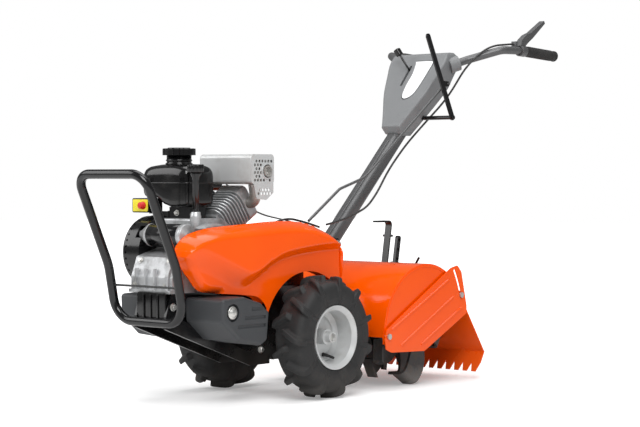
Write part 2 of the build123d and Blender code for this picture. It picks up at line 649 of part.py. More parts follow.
def muffler_guard():
    shell = fillet(block(GUARD_X, GUARD_Y, GUARD_Z).edges().filter_by(Axis.X), GUARD_EDGE)
    shell = fillet(shell.faces().sort_by(Axis.X)[0].edges(), 4)
    t = GUARD_WALL
    cavity = block((GUARD_X[0] + t, GUARD_X[1] - t), (GUARD_Y[0] + t, GUARD_Y[1] - t), (GUARD_Z[0] - 1, GUARD_Z[1] - t))
    shell -= fillet(cavity.edges().filter_by(Axis.X).group_by(Axis.Z)[-1], GUARD_EDGE - t)
    drop = GUARD_Z[0] - SKIRT_DROP
    skirt = [(GUARD_Y[0] + 6, GUARD_Z[0] + 12), (GUARD_Y[1] - 2, GUARD_Z[0] + 12), (GUARD_Y[1] - 2, drop + 20),
             (GUARD_Y[1] - 30, drop), (GUARD_Y[0] + 20, drop + 4)]
    shell += side_plate(skirt, GUARD_X[1] - t, GUARD_X[1], 5)
    face = hex_holes(GUARD_X[1], (GUARD_Y[0] + 8, GUARD_Y[1] - 5), (GUARD_Z[0] + 6, GUARD_Z[1] - 9), outlet_at(),
                     OUTLET_R + 9)
    shell -= face
    shell -= hex_holes(GUARD_X[1], (GUARD_Y[0] + 22, GUARD_Y[1] - 8), (drop + 12, GUARD_Z[0] - 4), outlet_at(), 1)
    shell -= rod_x(*outlet_at(), OUTLET_R + 3, GUARD_X[1] - 10, GUARD_X[1] + 1)
    shell += rod_x(*outlet_at(), OUTLET_R + 6, GUARD_X[1] - t, GUARD_X[1] + 2)
    return shell - rod_x(*outlet_at(), OUTLET_R + 3, GUARD_X[1] - 10, GUARD_X[1] + 3)


def muffler():
    g = SILENCER_GAP
    x0, x1 = GUARD_X[0] + GUARD_WALL + SEAT, GUARD_X[1] - g
    y = (GUARD_Y[0] + g, GUARD_Y[1] - g)
    box = block((x0, x1), y, (GUARD_Z[0], GUARD_Z[1] - g))
    box = fillet(box.edges().filter_by(Axis.X), GUARD_EDGE)
    pipe = rod_x(*outlet_at(), OUTLET_R, x1 - 1, GUARD_X[1] + 6)
    pipe -= rod_x(*outlet_at(), OUTLET_R - 3, x1, GUARD_X[1] + 7)
    head = cylinder_frame(CYL_FROM + CYL_LEN + HEAD_LEN * 0.6)
    port = head.from_local_coords(Vector(HEAD_SPAN / 2 + SEAT, 0, 0))
    knee = (port.X + 24, port.Y, port.Z)
    top = (port.X + 24, port.Y - 8, GUARD_Z[0] + 1)
    elbow = tube_along([(port.X, port.Y, port.Z), knee, top], [20], 2 * ELBOW_R)
    return box + pipe + elbow


def air_cleaner():
    box = block(AIR_X, AIR_Y, AIR_Z)
    return fillet(box.edges(), AIR_EDGE)


def smooth_face(points, inset):
    # A closed outline whose corners are all rounded as far as their sides allow.
    outline = FilletPolyline(*points, radius=widest_radii([points[-1], *points, points[0]]), close=True)
    face = make_face(outline)
    return offset(face, amount=-inset) if inset > 0 else face


def belt_cover():
    # Skirt and bulge share the top line; the bulge ends below at the crease.
    t = COVER_WALL
    rise = COVER_OUT_X - COVER_SKIRT_X
    skirt_line = COVER_TOP + COVER_SKIRT
    bulge_line = COVER_TOP + COVER_CREASE
    cover = extrude(Plane.YZ.offset(COVER_IN_X) * smooth_face(skirt_line, 0.0), amount=COVER_SKIRT_X - COVER_IN_X)
    bulge = extrude(Plane.YZ.offset(COVER_SKIRT_X - 1) * smooth_face(bulge_line, 0.0), amount=rise + 1)
    cover += fillet(bulge.faces().sort_by(Axis.X)[-1].edges(), COVER_EDGE)
    depth = COVER_SKIRT_X - COVER_IN_X - 2 * t
    inner = extrude(Plane.YZ.offset(COVER_IN_X + t) * smooth_face(skirt_line, t), amount=depth)
    lens = extrude(Plane.YZ.offset(COVER_SKIRT_X - 2 * t) * smooth_face(bulge_line, COVER_EDGE), amount=rise + t)
    arch = TYRE_R + TYRE_GAP
    inner -= rod_x(0, AXLE_Z, arch + t, COVER_IN_X - 1, COVER_OUT_X + 1)
    wheel_room = rod_x(0, AXLE_Z, arch, COVER_IN_X - 1, COVER_OUT_X + 1)
    mouth = block((COVER_IN_X + 8, COVER_SKIRT_X - 8), (-380, -200), (270, 310))
    for cut in (inner, lens, wheel_room, mouth):
        cover -= cut
    return cover + rod_x(*COVER_BOLT, 5, COVER_SKIRT_X - 2, COVER_OUT_X + 3)


# Tines, hood and shield
def tine_gearcase():
    near = DRIVE_END_Y + SEAT
    half = GEARCASE_HALF_X
    case = rod_x(ROTOR_Y, ROTOR_Z, GEARCASE_R, -half, half)
    case += side_plate([(near, DRIVE_Z[0] - 28), (near, DRIVE_Z[1]), (near + 30, DRIVE_Z[1]),
                        (ROTOR_Y + 30, ROTOR_Z + GEARCASE_R - 8), (ROTOR_Y, ROTOR_Z)], -half, half)
    return case - rod_x(ROTOR_Y, ROTOR_Z, ROTOR_SHAFT_R + FIT, -half, half)


def tine():
    # A sickle blade cut from plate, its outer end bent sideways along a slanting line.
    root_lead, root_trail = at_angle((0, 0), 30, 40), at_angle((0, 0), 30, -40)
    back = ThreePointArc(root_lead, at_angle((0, 0), 104, 12), at_angle((0, 0), TINE_R, -14))
    edge = ThreePointArc(at_angle((0, 0), TINE_R, -14), at_angle((0, 0), TINE_R, -28), at_angle((0, 0), TINE_R, -42))
    front = ThreePointArc(at_angle((0, 0), TINE_R, -42), at_angle((0, 0), 88, -32), root_trail)
    outline = make_face([back, edge, front, Line(root_trail, root_lead)])
    t = TINE_T
    bend = TINE_BEND
    fold = FilletPolyline((t / 2, 0), (t / 2, bend - t / 2), (TINE_FOOT, bend - t / 2), radius=TINE_BEND_R)
    sheet = extrude(Plane.XY * trace(fold, t), amount=TINE_R, both=True)
    return extrude(Plane.YZ * outline, amount=TINE_FOOT) & (Rot(X=-45) * sheet)


def tine_reel(side):
    # The innermost tines all turn outwards, the outermost inwards, the middle ones by turns.
    reel = rod_x(0, 0, ROTOR_TUBE_R, ROTOR_IN_X, ROTOR_HALF_X)
    step = 360 / TINES_PER_FLANGE
    outward = tine()
    inward = mirrored(outward)
    for k, x in enumerate(FLANGE_X):
        reel += rod_x(0, 0, FLANGE_R, x, x + FLANGE_T)
        for i in range(TINES_PER_FLANGE):
            turn = Rot(X=step * i + TINE_PHASE + 30 * (2 - k))
            turned_out = k == 0 or (k == 1 and i % 2 == 0)
            reel += Pos(x + FLANGE_T, 0, 0) * turn * outward if turned_out else Pos(x, 0, 0) * turn * inward
    reel -= rod_x(0, 0, ROTOR_SHAFT_R, 0, ROTOR_HALF_X)
    if side < 0:
        reel = mirrored(reel)
    return Pos(0, ROTOR_Y, ROTOR_Z) * reel


def tine_shaft():
    half = ROTOR_HALF_X - 4
    return rod_x(ROTOR_Y, ROTOR_Z, ROTOR_SHAFT_R, -half, half)


def slot_bolt_at():
    return at_angle(SHIELD_PIVOT, SLOT_R, SLOT_FROM + 1)


def hood():
    half = HOOD_HALF_X
    wedge = [HOOD_CENTRE]
    facets = 8
    step = (HOOD_FRONT_ANGLE - HOOD_REAR_ANGLE) / facets
    for i in range(facets + 1):
        wedge.append(at_angle(HOOD_CENTRE, HOOD_R * 1.2, HOOD_REAR_ANGLE + step * i))
    sector = side_plate(wedge, -half, half)
    drum = rod_x(*HOOD_CENTRE, HOOD_R, -half, half)
    inside = rod_x(*HOOD_CENTRE, HOOD_R - HOOD_WALL, -half + HOOD_WALL, half - HOOD_WALL)
    shell = (drum & sector) - inside
    bolt = slot_bolt_at()
    x0 = half - HOOD_WALL
    plate = [shifted(SHIELD_PIVOT, -13, -21), shifted(SHIELD_PIVOT, -13, 22), shifted(bolt, 10, -9),
             shifted(bolt, 9, -22), shifted(HOOD_CENTRE, 5, -34)]
    cheek = side_plate(plate, x0, half)
    cheek += rod_x(*SHIELD_PIVOT, PIVOT_BOSS_R, x0, half) + rod_x(*bolt, SLOT_BOSS_R, x0, half)
    shell += both_sides(cheek)
    bead = rod_x(*HOOD_CENTRE, HOOD_R - HOOD_BEAD, half - 0.1, half + 1.4)
    bead -= rod_x(*HOOD_CENTRE, HOOD_R - HOOD_BEAD - 4, half - 1, half + 2)
    for at in (SHIELD_PIVOT, bolt):
        bead -= rod_x(*at, PIVOT_BOSS_R, half - 1, half + 2)
    shell += both_sides(bead & side_plate(wedge, half - 1, half + 2))
    passage_half = DRIVE_HALF_X + 0.3
    passage = block((-passage_half, passage_half), (180, 240), (100, DRIVE_Z[1] + 0.3))
    slot = block((STAKE_X - 8, STAKE_X + 8), (530, 600), (225, 300))
    return shell - passage - slot


def hood_bolts(side):
    inner = HOOD_HALF_X + 0.05
    outer = HOOD_HALF_X + RUNNING_GAP + SHIELD_T + 0.6
    pins = Part()
    for at in (SHIELD_PIVOT, slot_bolt_at()):
        pins += rod_x(*at, BOLT_R, inner, outer + 1)
        pins += rod_x(*at, BOLT_HEAD_R, inner, HOOD_HALF_X + RUNNING_GAP - 0.6)
        pins += rod_x(*at, BOLT_HEAD_R, outer, outer + BOLT_HEAD_H)
    return pins if side > 0 else mirrored(pins)


def shield_outline():
    # The rear edge keeps a rim round the slot.
    rear = [(SHIELD_RIM - 2, 7.1), (SHIELD_RIM + 1, 10.6), (SHIELD_RIM + 8, 26.3), (SHIELD_RIM, 30.2),
            (-SHIELD_RIM / 2, 31.9)]
    return SHIELD_FOOT + [at_angle(SHIELD_PIVOT, SLOT_R + out, turn) for out, turn in rear] + [SHIELD_HEEL]


def shield_side(side):
    inner = HOOD_HALF_X + RUNNING_GAP
    outer = inner + SHIELD_T
    plate = side_plate(shield_outline(), inner, outer, 6)
    plate -= rod_x(*SHIELD_PIVOT, BOLT_R + PIVOT_FIT, inner - 1, outer + 1)
    slot = rod_x(*SHIELD_PIVOT, SLOT_R + SLOT_W / 2, inner - 1, outer + 1)
    slot -= rod_x(*SHIELD_PIVOT, SLOT_R - SLOT_W / 2, inner - 2, outer + 2)
    reach = 2 * SLOT_R
    wedge = [SHIELD_PIVOT, at_angle(SHIELD_PIVOT, reach, SLOT_FROM), at_angle(SHIELD_PIVOT, reach, SLOT_TO)]
    slot &= side_plate(wedge, inner - 1, outer + 1)
    for turn in (SLOT_FROM, SLOT_TO):
        slot += rod_x(*at_angle(SHIELD_PIVOT, SLOT_R, turn), SLOT_W / 2, inner - 1, outer + 1)
    plate -= slot
    for start, end in SHIELD_RIBS:
        run = math.dist(start, end)
        turn = math.degrees(math.atan2(end[1] - start[1], end[0] - start[0]))
        rib = extrude(SlotOverall(run, RIB_W), amount=RIB_H, taper=30)
        plate += Plane.YZ.offset(outer - 0.01) * Pos((start[0] + end[0]) / 2, (start[1] + end[1]) / 2, 0) * Rot(Z=turn) * rib
    return plate if side > 0 else mirrored(plate)


def shield_board():
    half = HOOD_HALF_X + RUNNING_GAP - SEAT
    t = SHIELD_T
    top = at_angle(SHIELD_PIVOT, SLOT_R + SHIELD_RIM, 9.6)
    strip = [top, BOARD_LOW, BOARD_TIP, shifted(BOARD_TIP, -t, 1), shifted(BOARD_LOW, -t - 1, 1), shifted(top, -t, -2)]
    board = side_plate(strip, -half, half)
    pitch = 2 * half / TOOTH_COUNT
    for i in range(TOOTH_COUNT + 1):
        x = -half + pitch * i
        notch = Polyline((x - pitch / 2, 0), (x, TOOTH_H + BOARD_TIP[1]), (x + pitch / 2, 0), close=True)
        board -= extrude(Plane.XZ.offset(-BOARD_LOW[0] - 30) * make_face(notch), amount=100)
    return board


def stake_frame():
    lean = math.radians(STAKE_LEAN)
    return Plane(origin=(STAKE_X, *STAKE_TOP), x_dir=(1, 0, 0), z_dir=(0, math.sin(lean), math.cos(lean)))


def depth_stake():
    round_end = STAKE_W / 2
    bar = Pos(0, 0, -(STAKE_LEN + round_end) / 2) * Box(STAKE_T, STAKE_W, STAKE_LEN - round_end)
    bar += Pos(0, 0, -round_end) * Rot(Y=90) * Cylinder(round_end, STAKE_T)
    for i in range(STAKE_HOLES):
        bar -= Pos(0, 0, -12 - STAKE_HOLE_PITCH * i) * Rot(Y=90) * Cylinder(STAKE_HOLE_R, 2 * STAKE_T)
    return stake_frame() * bar


def stake_bracket():
    width, depth = STAKE_T + 2 * SLEEVE_GAP, STAKE_W + 2 * SLEEVE_GAP
    outer = Rectangle(width + 2 * SLEEVE_WALL, depth + 2 * SLEEVE_WALL)
    sleeve = extrude(outer - Rectangle(width, depth), amount=-180)
    sleeve = stake_frame() * Pos(0, 0, -SLEEVE_TOP) * sleeve
    sleeve -= rod_x(*HOOD_CENTRE, HOOD_R + SEAT, -100, 100)
    sleeve = sleeve.solids().sort_by(Axis.Z)[-1]
    lean = math.radians(STAKE_LEAN)
    pin_y = STAKE_TOP[0] - (SLEEVE_TOP + 6) * math.sin(lean)
    pin_z = STAKE_TOP[1] - (SLEEVE_TOP + 6) * math.cos(lean)
    start = STAKE_X + width / 2 + SLEEVE_WALL - 1
    handle = FilletPolyline((start, pin_y, pin_z), (STAKE_X + 76, pin_y, pin_z), (STAKE_X + 90, pin_y, pin_z + 22),
                            radius=8)
    return sleeve + sweep(Plane(origin=handle @ 0, z_dir=handle % 0) * Circle(LOCK_PIN_R), path=handle)


def depth_lever():
    foot = at_angle(HOOD_CENTRE, HOOD_R, LEVER_FOOT_ANGLE)
    top = foot[1] + LEVER_RISE
    low = shifted(foot, -LEVER_LEAN / 4, -40)
    bend = (foot[0] + LEVER_LEAN, top)
    path = FilletPolyline(low, bend, shifted(bend, -LEVER_HANDLE), radius=11)
    strip = extrude(Plane.YZ.offset(LEVER_X - LEVER_W / 2) * trace(path, LEVER_T), amount=LEVER_W)
    link = (bend[0] - 6, STAKE_TOP[1])
    strip += rod_x(*link, 3.5, LEVER_X - LEVER_W / 2 - 6, LEVER_X + LEVER_W / 2 + 6)
    return strip - rod_x(*HOOD_CENTRE, HOOD_R + SEAT, LEVER_X - LEVER_W, LEVER_X + LEVER_W)


# Handle
def column_plane():
    turn = math.radians(COLUMN_SLOPE)
    return Plane(origin=(0, HINGE_Y, HINGE_Z), x_dir=(1, 0, 0), z_dir=(0, math.cos(turn), math.sin(turn)))


def column_solid(extra=0.0):
    size = (COLUMN_W + 2 * extra, COLUMN_D + 2 * extra)
    return column_plane() * extrude(RectangleRounded(*size, COLUMN_EDGE + extra), amount=COLUMN_LEN + extra)


def column():
    tube = column_solid() + rod_x(HINGE_Y, HINGE_Z, COLUMN_D / 2, -COLUMN_W / 2, COLUMN_W / 2)
    ridge = Pos(0, -COLUMN_D / 2, 0) * extrude(RectangleRounded(14, 5, 2.4), amount=COLUMN_LEN * 0.72)
    tube += column_plane() * ridge
    tube -= rod_x(*CONTROL_LOW, CROSS_SHAFT_R + SEAT, 0, COLUMN_W)
    return tube - rod_x(HINGE_Y, HINGE_Z, HINGE_R + FIT, -COLUMN_W, COLUMN_W)


def handle_bracket():
    gap = COLUMN_W / 2 + EAR_GAP
    seat = TURRET_TOP_Z + SEAT
    ear = [(TURRET_Y[0], seat), (TURRET_Y[1], seat), (HINGE_Y + 16, HINGE_Z - 14), (HINGE_Y + 10, HINGE_Z + 18),
           (HINGE_Y - 18, HINGE_Z + 18), (60, HINGE_Z - 30)]
    cheek = side_plate(ear, gap, gap + EAR_T)
    base = block((-gap - EAR_T, gap + EAR_T), TURRET_Y, (seat, seat + 8))
    return both_sides(cheek) + base + rod_x(HINGE_Y, HINGE_Z, HINGE_R, -gap - EAR_T - 3, gap + EAR_T + 3)


def bar_half():
    return [Vector(*p) for p in BAR_POINTS]


def face_plane():
    # On the console's sloping face, x runs across and y runs up the slope.
    low, high = [Vector(0, *p) for p in CONSOLE_FACE]
    up = (high - low).normalized()
    return Plane(origin=low, x_dir=(1, 0, 0), z_dir=Vector(1, 0, 0).cross(up))


def console():
    body = side_plate(CONSOLE_FACE + CONSOLE_BACK, -160, 160)
    right = [(x, z) for x, z in CONSOLE_HALF]
    left = [(-x, z) for x, z in reversed(CONSOLE_HALF)]
    outline = [Spline(*right), Line(right[-1], left[0]), Spline(*left), Line(left[-1], right[0])]
    mask = extrude(Plane.XZ.offset(-900) * make_face(outline), amount=600)
    body &= mask
    face = body.faces().filter_by(GeomType.PLANE).sort_by(SortBy.AREA)[-1]
    body = fillet(face.edges(), CONSOLE_EDGE)
    boss = Plane(origin=BAR_POINTS[0], z_dir=bar_half()[1] - bar_half()[0])
    body += both_sides(extrude(boss * Circle(CONSOLE_BOSS_R), amount=CONSOLE_BOSS_X - BAR_POINTS[0][0] + 4))
    for direction in (1, -1):
        points = [(direction * x, y, z) for x, y, z in BAR_POINTS[:3]]
        body -= tube_along(points, [BAR_BENDS[0]], BAR_D + 2 * SEAT)
    run = math.dist(*SHIFT_SLOT)
    turn = math.degrees(math.atan2(SHIFT_SLOT[1][1] - SHIFT_SLOT[0][1], SHIFT_SLOT[1][0] - SHIFT_SLOT[0][0]))
    middle = [(a + b) / 2 for a, b in zip(*SHIFT_SLOT)]
    slot = extrude(SlotOverall(run, SHIFT_SLOT_W), amount=SHIFT_SLOT_DEPTH, both=True)
    body -= face_plane() * Pos(*middle, 0) * Rot(Z=turn) * slot
    body -= rod_x(*CONTROL_LOW, CROSS_SHAFT_R + SEAT, 0, 170)
    return body - column_solid(SEAT)


def shift_lever():
    top = SHIFT_SLOT[1]
    foot = (top[0] - 2, top[1] - 14, -SHIFT_SLOT_DEPTH + SEAT)
    stem = FilletPolyline(foot, (foot[0], foot[1], 12), (foot[0] - 22, foot[1] + 26, 38), radius=14)
    lever = sweep(Plane(origin=stem @ 0, z_dir=stem % 0) * Circle(3), path=stem)
    end = stem @ 1
    knob = Plane(origin=end, z_dir=stem % 1) * extrude(RectangleRounded(19, 19, 6), amount=22)
    return face_plane() * (lever + fillet(knob.faces().sort_by(Axis.Z)[-1].edges(), 3))


def handlebar(side):
    bar = tube_along(BAR_POINTS, BAR_BENDS, BAR_D)
    return bar if side > 0 else mirrored(bar)


def grip_plane():
    tail, tip = bar_half()[-2:]
    return Plane(origin=tip, z_dir=tip - tail)


def grip(side):
    outer = extrude(grip_plane() * Circle(GRIP_D / 2), amount=-GRIP_LEN)
    end = extrude(grip_plane() * Circle(GRIP_D / 2), amount=9)
    outer += fillet(end.edges().sort_by(Axis.Y)[-1], 7)
    body = outer - extrude(grip_plane() * Circle(BAR_D / 2 + 0.05), amount=-GRIP_LEN - 1)
    return body if side > 0 else mirrored(body)


def control_bar():
    top, low = CONTROL_TOP, CONTROL_LOW
    run = math.dist(top, low)
    turn = math.degrees(math.atan2(low[1] - top[1], low[0] - top[0]))
    flat = Pos((top[0] + low[0]) / 2, (top[1] + low[1]) / 2) * Rot(Z=turn) * SlotOverall(run + CONTROL_W, CONTROL_W)
    tab_from = (top[0] + (low[0] - top[0]) * 0.58, top[1] + (low[1] - top[1]) * 0.58)
    eye = ROD_POINTS[0][1:]
    bar = extrude(Plane.YZ.offset(CONTROL_X[0]) * flat, amount=CONTROL_X[1] - CONTROL_X[0])
    tab = [shifted(tab_from, 0, 9), shifted(eye, 5, 7), shifted(eye, 5, -7), shifted(tab_from, 0, -9)]
    bar += side_plate(tab, *CONTROL_X)
    bar -= rod_x(*eye, ROD_D / 2 + FIT, CONTROL_X[0], CONTROL_X[1])
    return bar + rod_x(*low, CROSS_SHAFT_R, COLUMN_W / 2 - 10, CONTROL_X[1] + 4)


def clutch_lever():
    along = bar_half()[-1] - bar_half()[-2]
    clamp = Plane(origin=(BAR_POINTS[-1][0], CLAMP_Y, BAR_POINTS[-2][2]), z_dir=along)
    ring = extrude(clamp * (Circle(CLAMP_R) - Circle(BAR_D / 2 + 0.05)), amount=24)
    blade = [(842, 988), (866, 988), (882, 1000), (905, 1014), (970, 1062), (966, 1070), (896, 1030), (872, 1022),
             (848, 1006)]
    lever = side_plate(blade, *LEVER_BLADE_X)
    stop = block((212, 229), (840, 862), (984, 1002))
    return ring + lever + stop


def shift_rod():
    rod = tube_along(ROD_POINTS, ROD_BENDS, ROD_D)
    eye = ROD_POINTS[0]
    return rod + rod_x(*eye[1:], ROD_D / 2, eye[0] - 3, CONTROL_X[1] + 5)


# Cables
def handle_cable():
    radii = widest_radii(CLUTCH_CABLE)
    print("clutch cable's bends", [round(r) for r in radii])
    return tube_along(CLUTCH_CABLE, radii, CLUTCH_CABLE_D)


def engine_cables():
    tail = widest_radii(CLUTCH_TAIL)
    throttle = widest_radii(THROTTLE_CABLE)
    print("engine cables' bends", [round(r) for r in tail + throttle])
    return tube_along(CLUTCH_TAIL, tail, CLUTCH_CABLE_D) + tube_along(THROTTLE_CABLE, throttle, THROTTLE_CABLE_D)


PIECES = {
    "tyre_left": lambda: tyre(1),
    "tyre_right": lambda: tyre(-1),
    "rim_left": lambda: rim(1),
    "rim_right": lambda: rim(-1),
    "axle_shaft": axle,
    "transmission_case": transmission,
    "engine_frame": engine_frame,
    "bumper": bumper,
    "side_weight_left": lambda: weight_box(1),
    "side_weight_right": lambda: weight_box(-1),
    "crankcase": crankcase,
    "cylinder": cylinder,
    "fan_housing": fan_housing,
    "fuel_tank": fuel_tank,
    "tank_mount": tank_mount,
    "fuel_cap": fuel_cap,
    "oil_filler": oil_filler,
    "starter_motor": starter_motor,
    "switch_box": switch_box,
    "muffler": muffler,
    "muffler_guard": muffler_guard,
    "air_cleaner": air_cleaner,
    "belt_cover": belt_cover,
    "tine_gearcase": tine_gearcase,
    "tine_reel_left": lambda: tine_reel(1),
    "tine_reel_right": lambda: tine_reel(-1),
    "tine_shaft": tine_shaft,
    "hood": hood,
    "hood_bolts_left": lambda: hood_bolts(1),
    "hood_bolts_right": lambda: hood_bolts(-1),
    "shield_side_left": lambda: shield_side(1),
    "shield_side_right": lambda: shield_side(-1),
    "shield_board": shield_board,
    "depth_stake": depth_stake,
    "stake_bracket": stake_bracket,
    "depth_lever": depth_lever,
    "handle_bracket": handle_bracket,
    "handle_column": column,
    "console": console,
    "shift_lever": shift_lever,
    "control_bar": control_bar,
    "clutch_lever": clutch_lever,
    "shift_rod": shift_rod,
    "handlebar_left": lambda: handlebar(1),
    "handlebar_right": lambda: handlebar(-1),
    "grip_left": lambda: grip(1),
    "grip_right": lambda: grip(-1),
    "handle_cable": handle_cable,
    "engine_cables": engine_cables,
}

os.makedirs("parts", exist_ok=True)
shapes = {name: make() for name, make in PIECES.items()}
boxes = [shape.bounding_box() for shape in shapes.values()]
front = min(box.min.Y for box in boxes)
rear = max(box.max.Y for box in boxes)
middle = (front + rear) / 2
for name, shape in shapes.items():
    export_step(Pos(0, -middle, 0) * shape, f"parts/{name}.step")
print("wheel axle stands at y =", round(-middle, 3))
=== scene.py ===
import math

import bpy
import numpy as np
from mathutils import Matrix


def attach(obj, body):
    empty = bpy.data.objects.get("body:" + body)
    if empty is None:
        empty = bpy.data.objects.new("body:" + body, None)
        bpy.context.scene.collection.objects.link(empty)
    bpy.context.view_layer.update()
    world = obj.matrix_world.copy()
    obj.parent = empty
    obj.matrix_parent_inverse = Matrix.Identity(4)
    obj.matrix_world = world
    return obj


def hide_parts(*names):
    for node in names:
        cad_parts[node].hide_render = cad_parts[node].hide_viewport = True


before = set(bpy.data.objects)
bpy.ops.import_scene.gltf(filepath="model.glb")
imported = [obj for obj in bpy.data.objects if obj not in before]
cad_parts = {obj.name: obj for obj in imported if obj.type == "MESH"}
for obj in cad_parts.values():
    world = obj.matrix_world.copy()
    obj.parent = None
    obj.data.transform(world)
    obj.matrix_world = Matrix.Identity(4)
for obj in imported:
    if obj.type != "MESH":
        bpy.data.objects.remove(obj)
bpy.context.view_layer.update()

# Camera and light: the photograph looks at the machine's left front from 0.6 m above the floor.
# The floor and backdrop are plain and pale, with large soft lamps and an even sky.
# Places in this file count from the wheel axle, which stands ahead of the model's middle.
AXLE_Y = -0.210228
studio = bpy.context.scene
camera = bpy.data.cameras.new("camera")
camera.sensor_width = 36
camera.lens = 103.2
viewpoint = bpy.data.objects.new("camera", camera)
viewpoint.location = (3.3992, AXLE_Y - 3.7362, 0.6023)
viewpoint.rotation_euler = (math.pi / 2 - math.atan(39.5 / 1835), 0, math.radians(40.8))
studio.collection.objects.link(viewpoint)
studio.camera = viewpoint
studio.view_settings.view_transform = "Standard"
for name, place, size, power, aim in (("key_lamp", (2.4, -2.6, 3.2), 2.2, 120, (45, 0, 43)),
                                      ("fill_lamp", (-2.4, -2.6, 2.2), 2.4, 52, (55, 0, -44)),
                                      ("top_lamp", (0.0, 0.3, 3.4), 2.6, 62, (0, 0, 0))):
    lamp = bpy.data.lights.new(name, "AREA")
    lamp.size = size
    lamp.energy = power
    stand = bpy.data.objects.new(name, lamp)
    stand.location = place
    stand.rotation_euler = [math.radians(turn) for turn in aim]
    studio.collection.objects.link(stand)


class Wire:
    """One output of a node tree. Arithmetic on it adds Math nodes to that tree."""

    def __init__(self, tree, socket=None):
        self.tree = tree
        self.socket = socket

    def node(self, kind, settings=None, sockets=None, output=0):
        """Adds a node: its settings first, then the values or links of its sockets."""
        made = self.tree.nodes.new(kind)
        for key, value in (settings or {}).items():
            setattr(made, key, value)
        for key, value in (sockets or {}).items():
            if isinstance(value, Wire):
                self.tree.links.new(value.socket, made.inputs[key])
            else:
                made.inputs[key].default_value = value
        return Wire(self.tree, made.outputs[output] if len(made.outputs) else None)

    def maths(self, operation, first, second=0.0, clamp=False):
        settings = {"operation": operation, "use_clamp": clamp}
        return self.node("ShaderNodeMath", settings, {0: first, 1: second})

    def __add__(self, other):
        return self.maths("ADD", self, other)

    __radd__ = __add__

    def __sub__(self, other):
        return self.maths("SUBTRACT", self, other)

    def __rsub__(self, other):
        return self.maths("SUBTRACT", other, self)

    def __mul__(self, other):
        return self.maths("MULTIPLY", self, other)

    __rmul__ = __mul__

    def clamped(self):
        return self.maths("ADD", self, 0.0, clamp=True)

    def step(self, low, high):
        """0 below low, 1 above high, straight between them."""
        return ((self - low) * (1 / (high - low))).clamped()

    def noise(self, scale, detail=3.0, roughness=0.5):
        return self.node("ShaderNodeTexNoise", {}, {"Vector": self, "Scale": scale, "Detail": detail,
                                                    "Roughness": roughness})

    def axis(self, index):
        return self.node("ShaderNodeSeparateXYZ", {}, {0: self}, output=index)

    def tint(self, plain, marked):
        """The plain colour where this is 0, the marked one where it is 1."""
        plain = plain if isinstance(plain, Wire) else (*plain, 1)
        marked = marked if isinstance(marked, Wire) else (*marked, 1)
        return self.node("ShaderNodeMix", {"data_type": "RGBA"}, {0: self, 6: plain, 7: marked}, output=2)

    def bumps(self, strength, distance):
        return self.node("ShaderNodeBump", {}, {"Height": self, "Strength": strength, "Distance": distance})


def finish(name, look):
    """A material whose Principled sockets come from look(place), on Object coordinates."""
    made = bpy.data.materials.new(name)
    made.use_nodes = True
    made.node_tree.nodes.clear()
    bare = Wire(made.node_tree)
    sockets = look(bare.node("ShaderNodeTexCoord", output=3))
    shader = bare.node("ShaderNodeBsdfPrincipled", {}, sockets)
    bare.node("ShaderNodeOutputMaterial", {}, {0: shader})
    return made


def wear(*names, coat):
    """Gives carried-over CAD nodes their finish."""
    for name in names:
        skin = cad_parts[name].data
        skin.materials.clear()
        skin.materials.append(coat)


def floor_look(place):
    cloudy = place.noise(1.5, 2.0)
    seen = place.node("ShaderNodeLightPath")
    distance = place.node("ShaderNodeVectorMath", {"operation": "LENGTH"}, {0: place}, output=1)
    glow = seen * (0.26 + 0.74 * distance.step(0.9, 3.2))
    return {"Base Color": cloudy.tint((0.86, 0.86, 0.86), (0.89, 0.89, 0.89)), "Roughness": 0.9,
            "Specular IOR Level": 0.0, "Emission Color": glow.tint((0, 0, 0), (1, 1, 1)),
            "Emission Strength": 1.0}


bpy.ops.mesh.primitive_plane_add(size=30)
ground = bpy.context.object
ground.name = "studio_floor"
ground.data.materials.append(finish("pale_floor", floor_look))
sky = bpy.data.worlds.new("studio_sky")
sky.use_nodes = True
studio.world = sky
sky.node_tree.nodes.clear()
air = Wire(sky.node_tree)
seen = air.node("ShaderNodeLightPath", output=0)
glossy = air.node("ShaderNodeLightPath", output=3)
brightness = 0.46 + 0.54 * seen - 0.24 * glossy
backdrop = air.node("ShaderNodeBackground", {}, {0: (1, 1, 1, 1), 1: brightness})
air.node("ShaderNodeOutputWorld", {}, {0: backdrop})


# Control cables in black PVC sleeves: the clutch's runs from the hand lever to the crankcase, the
# throttle's from the air cleaner to the belt cover. They keep the tubes that the frame gives them.
def sleeve_look(place):
    grime = place.noise(60, 4.0)
    return {"Base Color": grime.tint((0.012, 0.012, 0.013), (0.045, 0.044, 0.042)),
            "Roughness": 0.42 + 0.2 * grime}


cable_sleeve = finish("cable_sleeve", sleeve_look)
wear("handle_cable", "engine_cables", coat=cable_sleeve)


# Tyres: lugged agricultural tread in black rubber, two rows of slanting bars.
# Carcass and bars are one moulding: a ring whose section is lifted where a bar stands.
WHEEL_X = 184
AXLE_Z = 165
LUG_COUNT = 11
LUG_HALF = 7.6
LUG_DRAFT = 2.6
LUG_TOP_R = 160
LUG_FOOT_R = 150
LUG_SWEEP = 33.0
SWEEP_WIDTH = 56
SWEEP_R = 165
CARCASS = [(0, 150), (18, 149.6), (34, 147), (45, 139.5), (50.5, 128), (52.2, 114), (51.6, 102), (49, 92),
           (45.6, 87), (41.5, 81), (39.5, 78.2)]
LUG_TOP = [(0, 165), (18, 164.6), (34, 163), (45, 158.5), (51, 150), (53, 138), (52.6, 124), (50.5, 104),
           (46.5, 90), (41.5, 81), (39.5, 78.2)]


